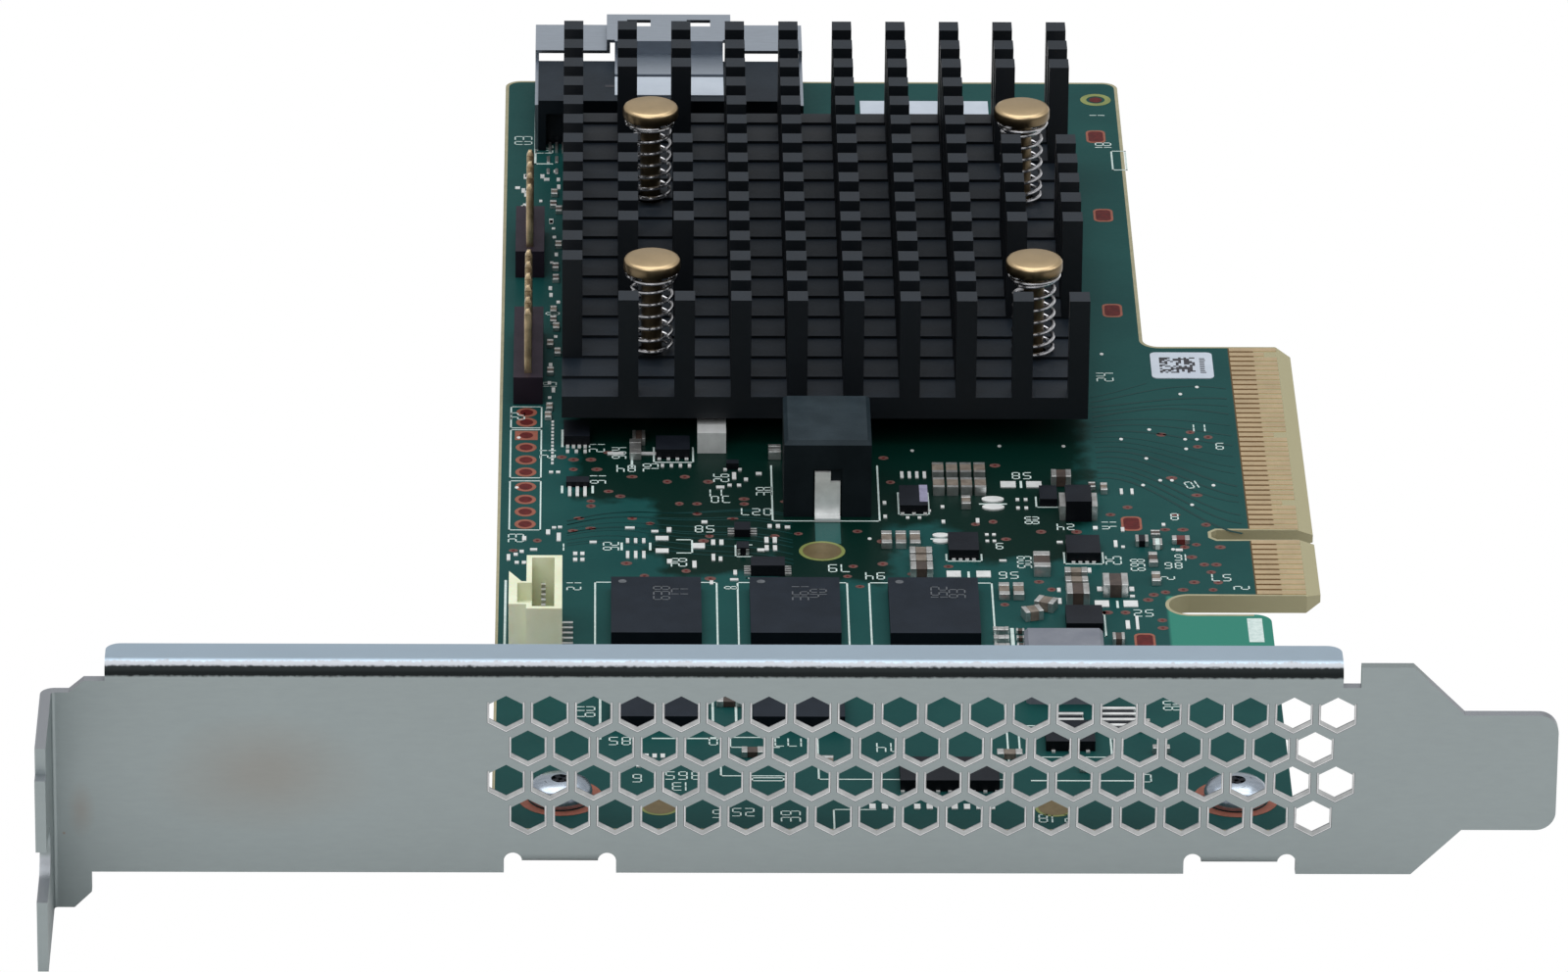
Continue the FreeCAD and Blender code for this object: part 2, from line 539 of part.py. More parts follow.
def make_heatsink():
    """Extruded ribs on a base, cross-cut into pins, milled clear round the four spring pins."""
    body = new_body("heatsink")
    left, near = SINK_LEFT, "$sink_near"
    base = sketch_on(body, "sink_base_plate", "XY_Plane", "$sink_up")
    rectangle(base, left, near, left + " + " + SINK_ACROSS, near + " + " + SINK_ALONG)
    pad(body, base, "$sink_base")
    rib = sketch_on(body, "sink_rib", "XY_Plane", SINK_FLOOR)
    rectangle(rib, left, near, left + " + $fin_width", near + " + " + SINK_ALONG)
    pattern(body, pad(body, rib, "$fin_high"), "X_Axis", "$fin_pitch", "$fin_count")
    cut = sketch_on(body, "sink_cross_cut", "YZ_Plane", left)
    floor = "(%s - $cut_below_floor)" % SINK_FLOOR
    rectangle(cut, near + " + $row_depth", floor, near + " + $row_pitch", SINK_FLOOR + " + $fin_high + 1")
    slit = pocket(body, cut, SINK_ACROSS, back=True)
    pattern(body, slit, "Y_Axis", "$row_pitch", "$row_count - 1")
    clear = sketch_on(body, "pin_clearing", "XY_Plane", SINK_FLOOR)
    for x, y in pin_places():
        rectangle(clear, x + " - $clear_width / 2", y + " - $clear_length / 2",
                  x + " + $clear_width / 2", y + " + $clear_length / 2")
    corner_rows = "(2 * $row_pitch - 0.5 * ($row_pitch - $row_depth))"
    rectangle(clear, left + " - 1", near + " - 1", left + " + $fin_width + 0.5", near + " + " + corner_rows)
    pocket(body, clear, "$fin_high + 1", back=True)
    holes = sketch_on(body, "sink_pin_holes", "XY_Plane", "$sink_up")
    for x, y in pin_places():
        circle(holes, x, y, "$pin_hole")
    pocket(body, holes, "$sink_base", back=True)


def pin_places():
    """Centres of the four spring pins."""
    return [("(%s + $pin_in_from_side + %d * $pin_across)" % (SINK_LEFT, i),
             "($sink_near + $pin_in_from_near + %d * $pin_along)" % j) for j in (0, 1) for i in (0, 1)]


def make_bracket_screws():
    """Two pan-head machine screws that clamp the board onto the bracket's tabs."""
    pieces = []
    for i, x in enumerate(BOARD_SCREW_X):
        y = BOARD_SCREW_Y
        shank = rod("screw_shank_%d" % i, x, y, "-$screw_length", "$screw_shank", "$screw_length")
        head = rod("screw_head_%d" % i, x, y, "0", "$screw_head", "$screw_head_high")
        whole = doc.addObject("Part::Fuse", "screw_blank_%d" % i)
        whole.Base, whole.Tool = shank, head
        floor = "$screw_head_high - $recess_deep"
        one = centred("recess_x_%d" % i, x, y, floor, "$recess_across", "$recess_width", "2 * $recess_deep")
        two = centred("recess_y_%d" % i, x, y, floor, "$recess_width", "$recess_across", "2 * $recess_deep")
        cross = doc.addObject("Part::Fuse", "recess_%d" % i)
        cross.Base, cross.Tool = one, two
        screw = doc.addObject("Part::Cut", "screw_%d" % i)
        screw.Base, screw.Tool = whole, cross
        pieces.append(screw)
    together("bracket_screws", pieces)


def make_spring_pins():
    """Four brass pins: flat head, shank, and a two-winged barb that snaps under the board."""
    head_low = "%s + $pin_spring_room" % SINK_FLOOR
    barb_top = "(-$board_thick - $seat_clearance)"
    tip = "(-$board_thick - $barb_long)"
    pieces = []
    for number, (x, y) in enumerate(pin_places(), start=1):
        head = rod("pin_head_%d" % number, x, y, head_low, "$pin_head", "$pin_head_high")
        shank = rod("pin_shank_%d" % number, x, y, tip, "$pin_shank", head_low + " - " + tip)
        barb = centred("pin_barb_%d" % number, x, y, tip, "$barb_across", "$barb_width",
                       barb_top + " - " + tip)
        pin = doc.addObject("Part::MultiFuse", "pin_%d" % number)
        pin.Shapes = [head, shank, barb]
        pieces.append(pin)
    together("spring_pins", pieces)


def spring_shape():
    """One coil spring with its end turns closed, its wire drawn as a three-sided bar of flat facets."""
    radius = (mm("spring_across") - mm("spring_wire")) / 2
    half, turns, facets = mm("spring_wire") / 2, mm("spring_turns"), 7
    low = mm("sink_up") + mm("sink_base") + half + mm("seat_clearance")
    high = mm("sink_up") + mm("sink_base") + mm("pin_spring_room") - half - mm("seat_clearance")
    closed = 0.75
    wire_rise = mm("spring_wire") * 1.15
    rings = []
    for k in range(int(turns * facets) + 1):
        turn = k / facets
        if turn <= closed:
            z = low + wire_rise * turn
        elif turn >= turns - closed:
            z = high - wire_rise * (turns - turn)
        else:
            share = (turn - closed) / (turns - 2 * closed)
            z = low + wire_rise * closed + share * (high - low - 2 * wire_rise * closed)
        angle = 2 * math.pi * turn
        out, up = Vector(math.cos(angle), math.sin(angle), 0), Vector(0, 0, 1)
        middle = out * radius + Vector(0, 0, z)
        inside = middle - out * half
        rings.append([middle + out * half, inside + up * half, inside - up * half])
    corners = [rings[0][::-1], rings[-1]]
    for ring, after in zip(rings, rings[1:]):
        for a, b in ((0, 1), (1, 2), (2, 0)):
            corners += [[ring[a], ring[b], after[b]], [ring[a], after[b], after[a]]]
    shell = Part.makeShell([Part.Face(Part.makePolygon(points + points[:1])) for points in corners])
    shell.sewShape()
    coil = Part.Solid(shell)
    return coil if coil.Volume > 0 else coil.reversed()


def make_springs():
    coil = spring_shape()
    coils = []
    for x, y in pin_places():
        copy = coil.copy()
        copy.translate(Vector(number_of(x), number_of(y), 0))
        coils.append(copy)
    springs = doc.addObject("Part::Feature", "heatsink_springs_coils")
    springs.Shape = Part.makeCompound(coils)
    node(springs, "heatsink_springs")


# The controller sits in the middle of the four spring pins.
CHIP_X = "(%s + $pin_in_from_side + $pin_across / 2)" % SINK_LEFT
CHIP_Y = "($sink_near + $pin_in_from_near + $pin_along / 2)"


def make_controller():
    """The controller package under the heatsink: carrier, lid and the pad that meets the heatsink."""
    carrier = centred("carrier", CHIP_X, CHIP_Y, "0", "$chip_across", "$chip_across", "$chip_high")
    node(carrier, "controller_carrier")
    lid_high = "($sink_up - $chip_high - $pad_high)"
    lid = centred("lid", CHIP_X, CHIP_Y, "$chip_high", "$lid_across", "$lid_across", lid_high)
    lid_top = doc.addObject("Part::Chamfer", "lid_edges")
    lid_top.Base = lid
    doc.recompute()
    top = lid.Shape.BoundBox.ZMax
    upper = [i + 1 for i, edge in enumerate(lid.Shape.Edges) if edge.BoundBox.ZMin > top - 0.01]
    lid_top.Edges = [(index, 0.25, 0.25) for index in upper]
    node(lid_top, "controller_lid")
    pad_z = "$sink_up - $pad_high"
    node(centred("pad", CHIP_X, CHIP_Y, pad_z, "$pad_across", "$pad_across", "$pad_high"), "thermal_pad")


def make_memory():
    """Memory packages: three in the front row and two behind the bracket."""
    spots = [(0, 0), (1, 0), (2, 0), (0, 1), (1, 1)]
    for number, (column, rear) in enumerate(spots, start=1):
        x = "%s + $memory_inset + %d * $memory_pitch" % (LEFT_EDGE, column)
        y = "-$memory_near - %d * $memory_rear_row" % rear
        chip = block("memory_%d" % number, x, y, "0", "$memory_across", "$memory_along", "$memory_high")
        node(chip, "memory_chip_%d" % number)


def make_choke():
    """Tall power choke: a pressed core with chamfered top edges and a channel for the strap at each end."""
    body = new_body("power_choke")
    left, near = "(%s + $choke_inset)" % LEFT_EDGE, "$choke_near"
    right, far = left + " + $choke_across", near + " + $choke_along"
    core = sketch_on(body, "choke_plan", "XY_Plane")
    middle = "(%s + $choke_across / 2)" % left
    half = "($strap_width / 2 + 0.15)"
    deep = "($strap_thick)"
    outline(core, [(left, near), (middle + " - " + half, near), (middle + " - " + half, near + " + " + deep),
                   (middle + " + " + half, near + " + " + deep), (middle + " + " + half, near), (right, near),
                   (right, far), (middle + " + " + half, far), (middle + " + " + half, far + " - " + deep),
                   (middle + " - " + half, far + " - " + deep), (middle + " - " + half, far), (left, far)])
    pad(body, core, "$choke_high")
    cap = sketch_on(body, "choke_cap", "XY_Plane", "$strap_high + 0.3")
    rectangle(cap, left, near, right, far)
    pad(body, cap, "$choke_high - $strap_high - 0.3")

    def is_top_edge(edge):
        return edge.BoundBox.ZMin > mm("choke_high") - 0.01

    round_edges(body, is_top_edge, "$choke_chamfer", kind="PartDesign::Chamfer")
    straps = []
    for name, face, out in (("near", near, -1), ("far", far, 1)):
        inner = "(%s %s $strap_thick)" % (face, "+" if out < 0 else "-")
        y0 = face if out < 0 else inner
        x0 = middle + " - $strap_width / 2"
        wall = block("strap_wall_" + name, x0, y0, "0", "$strap_width", "$strap_thick", "$strap_high - 0.9")
        step = block("strap_step_" + name, x0, y0, "0", "$strap_width * 0.62", "$strap_thick", "$strap_high")
        foot_y = "(%s - $strap_foot)" % face if out < 0 else far
        foot = block("strap_foot_" + name, x0, foot_y, "0", "$strap_width", "$strap_foot", "$strap_thick")
        strap = doc.addObject("Part::MultiFuse", "strap_" + name)
        strap.Shapes = [wall, step, foot]
        straps.append(strap)
    together("choke_straps", straps)


def make_inductor():
    """Flat moulded inductor with a metal foot wrapped under each end."""
    left, near = "(%s + $coil_inset)" % LEFT_EDGE, "(-$coil_near)"
    blank = block("coil_blank", left, near, "0", "$coil_across", "$coil_along", "$coil_high")
    core = doc.addObject("Part::Chamfer", "coil_core")
    core.Base = blank
    doc.recompute()
    upper = [i + 1 for i, edge in enumerate(blank.Shape.Edges)
             if edge.BoundBox.ZMin > blank.Shape.BoundBox.ZMax - 0.01 or runs_along(edge, Vector(0, 0, 1))]
    core.Edges = [(index, 0.3, 0.3) for index in upper]
    node(core, "flat_inductor")
    foot_near = near + " + ($coil_along - $coil_foot_along) / 2"
    feet = []
    for side, x in (("left", left + " - $coil_foot_out"), ("right", left + " + $coil_across")):
        feet.append(block("coil_foot_" + side, x, foot_near, "0", "$coil_foot_out", "$coil_foot_along",
                          "$coil_foot_high"))
    together("inductor_feet", feet)


def make_port():
    """Drive connector at the far edge: moulded block, contact blade, folded shell and a row of tails."""
    body = new_body("port_housing")
    left, right, near, far = PORT_LEFT, PORT_RIGHT, PORT_NEAR, PORT_FAR
    block_plan = sketch_on(body, "port_plan", "XY_Plane")
    rectangle(block_plan, left, near, right, far)
    pad(body, block_plan, "$port_high")
    window = sketch_on(body, "port_tail_window", "YZ_Plane", left + " + $tail_window_side")
    window_top = "$port_high - $tail_window_under_top"
    rectangle(window, near + " - 1", "-1", near + " + $tail_window_along", window_top)
    pocket(body, window, PORT_ACROSS + " - 2 * $tail_window_side", back=True)
    mouth = sketch_on(body, "port_mouth", "XZ_Plane", "-(%s)" % far)
    rectangle(mouth, left + " + $mouth_side", "$mouth_low",
              right + " - $mouth_side", "$port_high - $mouth_roof")
    pocket(body, mouth, "$port_along - $mouth_back", back=True)
    blade = block("port_tongue", left + " + $blade_side", near + " + $mouth_back", "$blade_low",
                  PORT_ACROSS + " - 2 * $blade_side", "$port_along - $mouth_back + $blade_out",
                  "$blade_thick")
    node(blade, "port_blade")
    make_shell()
    tails = []
    for i in range(int(mm("port_contacts"))):
        x = "%s + $port_side + %d * $port_pitch - $tail_width / 2" % (left, i)
        tails.append(block("tail_%d" % i, x, near + " - $tail_out", "0",
                           "$tail_width", "$tail_long", "$tail_high"))
    together("port_tails", tails)


def make_shell():
    """The shell round the mouth: side walls, top with a raised latch bridge, cheeks and a folded arm."""
    left, right, centre, steel = PORT_LEFT, PORT_RIGHT, PORT_MIDDLE, "$shell_sheet"
    body = new_body("port_shell")
    section = sketch_on(body, "shell_section", "XZ_Plane", "-(%s)" % SHELL_NEAR)
    latch_from, latch_to = centre + " - $latch_across / 2", centre + " + $latch_across / 2"
    out_l, out_r = left + " - " + steel, right + " + " + steel
    top, high = "$shell_high", "($shell_high + $latch_rise)"
    roof, bridge = "($shell_high - $shell_sheet)", "($shell_high + $latch_rise - $shell_sheet)"
    in_from, in_to = latch_from + " + " + steel, latch_to + " - " + steel
    outline(section, [
        (out_l, "0"), (left, "0"), (left, roof), (in_from, roof), (in_from, bridge), (in_to, bridge),
        (in_to, roof), (right, roof), (right, "0"), (out_r, "0"), (out_r, top), (latch_to, top),
        (latch_to, high), (latch_from, high), (latch_from, top), (out_l, top)])
    pad(body, section, "%s - %s" % (SHELL_FAR, SHELL_NEAR), back=True)
    windows = sketch_on(body, "latch_windows", "XY_Plane", high + " + 1")
    for side in ("-", "+"):
        middle = "%s %s $latch_hole_pitch / 2" % (centre, side)
        far = SHELL_FAR + " - $latch_hole_in"
        rectangle(windows, middle + " - $latch_hole_across / 2", far + " - $latch_hole_along",
                  middle + " + $latch_hole_across / 2", far)
    pocket(body, windows, "$latch_rise + 1.6")
    cheeks = sketch_on(body, "shell_cheeks", "XZ_Plane", "-(%s)" % SHELL_NEAR)
    rectangle(cheeks, out_l, "0", left, "$cheek_high")
    rectangle(cheeks, right, "0", out_r, "$cheek_high")
    pad(body, cheeks, "%s - %s - $cheek_short" % (SHELL_NEAR, PORT_NEAR))
    arm = sketch_on(body, "latch_arm", "YZ_Plane", centre + " - $arm_across / 2")
    start, seat = SHELL_NEAR, "$port_high"
    outline(arm, [(ARM_NEAR, seat), (start, seat), (start, bridge), (start + " + " + steel, bridge),
                  (start + " + " + steel, high), (start + " - " + steel, high),
                  (start + " - " + steel, seat + " + " + steel), (ARM_NEAR, seat + " + " + steel)])
    pad(body, arm, "$arm_across")


def make_headers():
    """Two rows of straight posts in square black carriers at the left edge."""
    for label, start, count in (("near", "$header_near", 6), ("far", "$header_far_near", 4)):
        carriers, bores, posts = [], [], []
        for i in range(count):
            x, y = HEADER_X, "%s + %d * $header_pitch" % (start, i)
            name = "%s_%d" % (label, i)
            carriers.append(centred("carrier_" + name, x, y, "0", "$header_pitch", "$header_pitch",
                                    "$header_high"))
            bores.append(centred("bore_" + name, x, y, "-1", "$post", "$post", "$header_high + 2"))
            posts.append(centred("post_" + name, x, y, "-$board_thick - $post_tail", "$post", "$post",
                                 "$board_thick + $post_tail + $post_high"))
        row = doc.addObject("Part::MultiFuse", label + "_carrier_row")
        row.Shapes = carriers
        holes = doc.addObject("Part::MultiFuse", label + "_bores")
        holes.Shapes = bores
        carrier = doc.addObject("Part::Cut", label + "_carrier")
        carrier.Base, carrier.Tool = row, holes
        node(carrier, label + "_header_carrier")
        together(label + "_header_posts", posts)


def make_power_socket():
    """Upright wire-to-board socket for the backup module: open box, side wing and a row of contacts."""
    body = new_body("power_socket")
    left = "(%s + $power_inset)" % LEFT_EDGE
    right = "(%s + $power_across)" % left
    near, far = "(-$power_near)", "(-$power_near + $power_along)"
    plan = sketch_on(body, "socket_plan", "XY_Plane")
    rectangle(plan, left, near, right, far)
    pad(body, plan, "$power_high")
    wing = sketch_on(body, "socket_wing", "XY_Plane")
    wing_left, wing_near = left + " - $wing_out", near + " + $wing_in_from_near"
    root = far + " - $wing_root_in_from_far"
    outline(wing, [(wing_left, wing_near), (left, wing_near), (left, root), (left + " - $wing_flat", root),
                   (wing_left, far + " - $wing_tip_in_from_far")])
    pad(body, wing, "$power_high")
    well = sketch_on(body, "socket_well", "XY_Plane", "$power_high")
    wall = "$power_wall"
    rectangle(well, left + " + " + wall, near + " + " + wall,
              right + " - $power_right_wall", far + " - " + wall)
    pocket(body, well, "$power_high - $power_floor")
    shelf = sketch_on(body, "wing_well", "XY_Plane", "$power_high")
    rectangle(shelf, wing_left + " + $wing_wall", wing_near + " + $wing_well_rim",
              left + " + 2 * " + wall, root + " - $wing_well_rim")
    pocket(body, shelf, "$wing_well_deep")
    blades, leads = [], []
    for i in range(int(mm("power_contacts"))):
        y = "%s + $power_along / 2 + (%d - ($power_contacts - 1) / 2) * $power_pitch" % (near, i)
        blades.append(centred("blade_%d" % i, left + " + $power_blade_in", y, "$power_floor",
                              "$power_blade", "$power_blade", "$power_blade_high"))
        leads.append(block("socket_lead_%d" % i, right, y + " - $power_lead_width / 2", "0",
                           "$power_lead_out", "$power_lead_width", "$power_lead_high"))
    together("socket_blades", blades)
    together("socket_leads", leads)


def make_packages():
    """Small moulded packages and, on some, a row of leads or a terminal down each side."""
    for name in PACKAGES:
        x, y = "%s + $%s_left" % (LEFT_EDGE, name), "$%s_near" % name
        body = block(name + "_mould", x, y, "0", "$%s_across" % name, "$%s_along" % name, "$%s_high" % name)
        node(body, name)
    leads = []
    for name in LEADED:
        for i in range(int(mm(name + "_leads"))):
            middle = "${0}_near + ${0}_along / 2 + ({1} - (${0}_leads - 1) / 2) * ${0}_pitch".format(name, i)
            for side, x in package_sides(name, "$lead_out"):
                leads.append(block("%s_lead_%s_%d" % (name, side, i), x, middle + " - $lead_width / 2", "0",
                                   "$lead_out", "$lead_width", "$lead_thick"))
    middle = "$power_diode_near + $power_diode_along / 2"
    for side, x in package_sides("power_diode", "$terminal_out"):
        leads.append(block("diode_terminal_" + side, x, middle + " - $terminal_along / 2", "0",
                           "$terminal_out", "$terminal_along", "$terminal_high"))
    together("package_leads", leads)


def package_sides(name, reach):
    """Where a lead that reaches out starts on the left side of a package, and on its right side."""
    left = "%s + $%s_left" % (LEFT_EDGE, name)
    return [("left", left + " - " + reach), ("right", left + " + $%s_across" % name)]


def make_capacitors():
    """The larger ceramic capacitors with their plated ends, a silver one, and those on the solder side."""
    bodies, ends = [], []
    for i in range(4):
        for j in range(2):
            x = "%s + $capacitor_inset + %d * $capacitor_pitch" % (LEFT_EDGE, i)
            y = "$capacitor_near + %d * $capacitor_row_pitch" % j
            name = "%d_%d" % (i, j)
            bodies.append(centred("ceramic_" + name, x, y, "0", "$capacitor_across",
                                  "$capacitor_along - 2 * $capacitor_end", "$capacitor_high"))
            for side, sign in (("near", "-"), ("far", "+")):
                middle = "%s %s ($capacitor_along - $capacitor_end) / 2" % (y, sign)
                ends.append(centred("ceramic_%s_%s" % (side, name), x, middle, "0", "$capacitor_across",
                                    "$capacitor_end", "$capacitor_high"))
    together("ceramic_capacitors", bodies)
    together("capacitor_ends", ends)
    silver = block("silver_block", "%s + $silver_inset" % LEFT_EDGE, "$silver_near", "0", "$silver_across",
                   "$silver_along", "$silver_high")
    node(silver, "silver_capacitor")
    under = []
    for i in range(3):
        for j in range(3):
            x = "%s + %d * $under_pitch" % (CHIP_X, i - 1)
            y = "%s + %d * $under_pitch" % (CHIP_Y, j - 1)
            under.append(centred("under_%d_%d" % (i, j), x, y, "-$board_thick - $under_along",
                                 "$under_across", "$under_along", "$under_along"))
    together("solder_side_capacitors", under)


def make_labels():
    """Bare paper labels on the drive connector, at the far edge and beside the edge contacts."""
    near = "%s - $port_label_along - $port_label_gap" % ARM_NEAR
    paper = block("port_paper", PORT_MIDDLE + " - $arm_across / 2", near, "$port_high", "$arm_across",
                  "$port_label_along", "$label_thick")
    node(paper, "port_label")
    places = {"board_label": (LEFT_EDGE + " + $board_label_left", FAR_EDGE + " - $board_label_near"),
              "code_label": ("-$code_label_left", "$code_label_near")}
    for name, (x, y) in places.items():
        paper = block(name + "_paper", x, y, "0", "$%s_across" % name, "$%s_along" % name, "$label_thick")
        node(paper, name)


def check_and_export():
    """Recompute, stop on any failed object or bad shape, then write one file for each sub-part."""
    doc.recompute()
    failed = [thing.Name for thing in doc.Objects if "Invalid" in thing.State or "Error" in thing.State]
    if failed:
        raise RuntimeError("not computed: " + ", ".join(failed))
    for thing in nodes:
        if thing.Shape.isNull() or not thing.Shape.isValid():
            raise RuntimeError("bad shape: " + thing.Label)
    os.makedirs("parts", exist_ok=True)
    for thing in nodes:
        thing.Shape.exportStep("parts/%s.step" % thing.Label)


make_board()
make_contacts()
make_bracket()
make_bracket_screws()
make_heatsink()
make_spring_pins()
make_springs()
make_controller()
make_memory()
make_choke()
make_inductor()
make_port()
make_headers()
make_power_socket()
make_packages()
make_capacitors()
make_labels()
check_and_export()
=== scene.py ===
"""Looks of the RAID controller card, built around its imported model. Metres, component side up."""

import math
import random

import bmesh
import bpy
from mathutils import Matrix, Vector


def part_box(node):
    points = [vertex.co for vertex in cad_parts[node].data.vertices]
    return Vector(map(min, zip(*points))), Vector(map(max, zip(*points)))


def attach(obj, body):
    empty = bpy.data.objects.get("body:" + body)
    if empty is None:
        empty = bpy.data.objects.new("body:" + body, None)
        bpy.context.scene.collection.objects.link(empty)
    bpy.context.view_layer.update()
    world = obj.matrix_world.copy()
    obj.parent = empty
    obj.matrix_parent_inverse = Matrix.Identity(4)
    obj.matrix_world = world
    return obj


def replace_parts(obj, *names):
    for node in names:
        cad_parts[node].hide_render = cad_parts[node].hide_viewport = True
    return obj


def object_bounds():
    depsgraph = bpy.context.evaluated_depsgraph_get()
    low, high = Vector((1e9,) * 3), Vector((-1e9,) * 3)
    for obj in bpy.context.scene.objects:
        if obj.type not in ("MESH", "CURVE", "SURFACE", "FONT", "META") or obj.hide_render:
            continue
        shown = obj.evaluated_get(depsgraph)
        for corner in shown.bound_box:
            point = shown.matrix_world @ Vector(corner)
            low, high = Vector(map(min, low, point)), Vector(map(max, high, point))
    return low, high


bl_info = {
    "name": "RAID controller card",
    "version": (1, 0, 0),
    "blender": (4, 5, 0),
    "location": "View3D > Sidebar > Card",
    "description": "Dresses the packed model of a RAID controller card",
    "category": "Object",
}

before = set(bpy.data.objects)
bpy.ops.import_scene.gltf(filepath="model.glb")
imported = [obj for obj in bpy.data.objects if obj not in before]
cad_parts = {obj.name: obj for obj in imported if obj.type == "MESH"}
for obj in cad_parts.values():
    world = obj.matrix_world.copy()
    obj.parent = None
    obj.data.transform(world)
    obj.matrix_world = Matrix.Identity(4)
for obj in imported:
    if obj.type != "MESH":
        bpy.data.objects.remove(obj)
CAD_BOX = [list(corner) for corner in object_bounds()]
MM = 0.001
ROOT = "root"


def corners(node):
    """Lowest and highest corner of a CAD node in millimetres."""
    low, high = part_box(node)
    return Vector(low) / MM, Vector(high) / MM


# ---------------------------------------------------------------- node helpers

def node_at(tree, kind, **values):
    """A shader node with plain values set on its properties and inputs."""
    made = tree.nodes.new(kind)
    for key, value in values.items():
        if hasattr(made, key):
            setattr(made, key, value)
        else:
            made.inputs[key.replace("_", " ")].default_value = value
    return made


def join(tree, *pairs):
    """Link (output, input) pairs."""
    for source, target in pairs:
        tree.links.new(source, target)


def bare_tree(owner):
    """Switch a material or world to nodes and empty its tree."""
    owner.use_nodes = True
    owner.node_tree.nodes.clear()
    return owner.node_tree


def ramp(tree, source, stops):
    """A colour ramp over a value: stops are (position, colour)."""
    made = tree.nodes.new("ShaderNodeValToRGB")
    band = made.color_ramp
    while len(band.elements) < len(stops):
        band.elements.new(0.5)
    for element, (place, colour) in zip(band.elements, stops):
        element.position = place
        element.color = (*colour, 1)
    join(tree, (source, made.inputs["Fac"]))
    return made.outputs["Color"]


def blend_colours(tree, factor, first, second):
    """Mix two colours, each a colour or an output, by a factor that is an output."""
    made = tree.nodes.new("ShaderNodeMix")
    made.data_type = "RGBA"
    join(tree, (factor, made.inputs["Factor"]))
    for name, value in (("A", first), ("B", second)):
        socket = next(s for s in made.inputs if s.name == name and s.type == "RGBA")
        if isinstance(value, bpy.types.NodeSocket):
            join(tree, (value, socket))
        else:
            socket.default_value = (*value[:3], 1)
    return next(s for s in made.outputs if s.type == "RGBA")


def arithmetic(tree, operation, *values):
    """A math node on outputs or plain numbers."""
    made = tree.nodes.new("ShaderNodeMath")
    made.operation = operation
    for socket, value in zip(made.inputs, values):
        if isinstance(value, (int, float)):
            socket.default_value = value
        else:
            join(tree, (value, socket))
    return made.outputs[0]


def surface_parts(tree, kind):
    """The surface's Position or Normal, whole and split into X, Y and Z."""
    place = tree.nodes.new("ShaderNodeNewGeometry")
    split = tree.nodes.new("ShaderNodeSeparateXYZ")
    join(tree, (place.outputs[kind], split.inputs["Vector"]))
    return place.outputs[kind], split.outputs


def map_range(tree, value, low, high):
    """0 where a value is at low, 1 where it is at high."""
    spread = node_at(tree, "ShaderNodeMapRange", From_Min=low, From_Max=high)
    join(tree, (value, spread.inputs["Value"]))
    return spread.outputs["Result"]


def noise(tree, vector, **values):
    """A noise value over a vector."""
    made = node_at(tree, "ShaderNodeTexNoise", **values)
    join(tree, (vector, made.inputs["Vector"]))
    return made.outputs["Fac"]


# ---------------------------------------------------------------- shared groups

COLOUR_A, COLOUR_B = (0.5, 0.5, 0.5, 1), (0.4, 0.4, 0.4, 1)


def group_shell(name, inputs):
    """An empty node group with the given inputs, and a colour, a roughness and a height out."""
    group = bpy.data.node_groups.new(name, "ShaderNodeTree")
    for label, default in inputs.items():
        kind = "NodeSocketColor" if isinstance(default, tuple) else "NodeSocketFloat"
        group.interface.new_socket(name=label, in_out="INPUT", socket_type=kind).default_value = default
    for label, kind in (("Colour", "NodeSocketColor"), ("Roughness", "NodeSocketFloat"),
                        ("Height", "NodeSocketFloat")):
        group.interface.new_socket(name=label, in_out="OUTPUT", socket_type=kind)
    return group, group.nodes.new("NodeGroupInput").outputs, group.nodes.new("NodeGroupOutput").inputs


def close_group(group, given, out, other, share, bounds, gloss, height):
    """Mix the group's two colours as share goes from bound to bound, and its roughness by gloss."""
    mask = ramp(group, share, [(bounds[0], (0, 0, 0)), (bounds[1], (1, 1, 1))])
    colour = blend_colours(group, mask, given["Colour"], given[other])
    span = arithmetic(group, "SUBTRACT", given["Rough High"], given["Rough Low"])
    rough = arithmetic(group, "ADD", arithmetic(group, "MULTIPLY", span, gloss), given["Rough Low"])
    join(group, (colour, out["Colour"]), (rough, out["Roughness"]), (height, out["Height"]))


def mottle_group():
    """Soft uneven colour and gloss, with a fine grain for the relief."""
    group, given, out = group_shell("Mottle", {
        "Colour": COLOUR_A, "Other Colour": COLOUR_B, "Scale": 200.0, "Grain Scale": 4000.0,
        "Rough Low": 0.4, "Rough High": 0.5})
    place = group.nodes.new("ShaderNodeTexCoord").outputs["Object"]
    broad = node_at(group, "ShaderNodeTexNoise", Detail=4.0, Roughness=0.55)
    fine = node_at(group, "ShaderNodeTexNoise", Detail=3.0)
    join(group, (place, broad.inputs["Vector"]), (place, fine.inputs["Vector"]),
         (given["Scale"], broad.inputs["Scale"]), (given["Grain Scale"], fine.inputs["Scale"]))
    grain = fine.outputs["Fac"]
    close_group(group, given, out, "Other Colour", broad.outputs["Fac"], (0.35, 0.65), grain, grain)


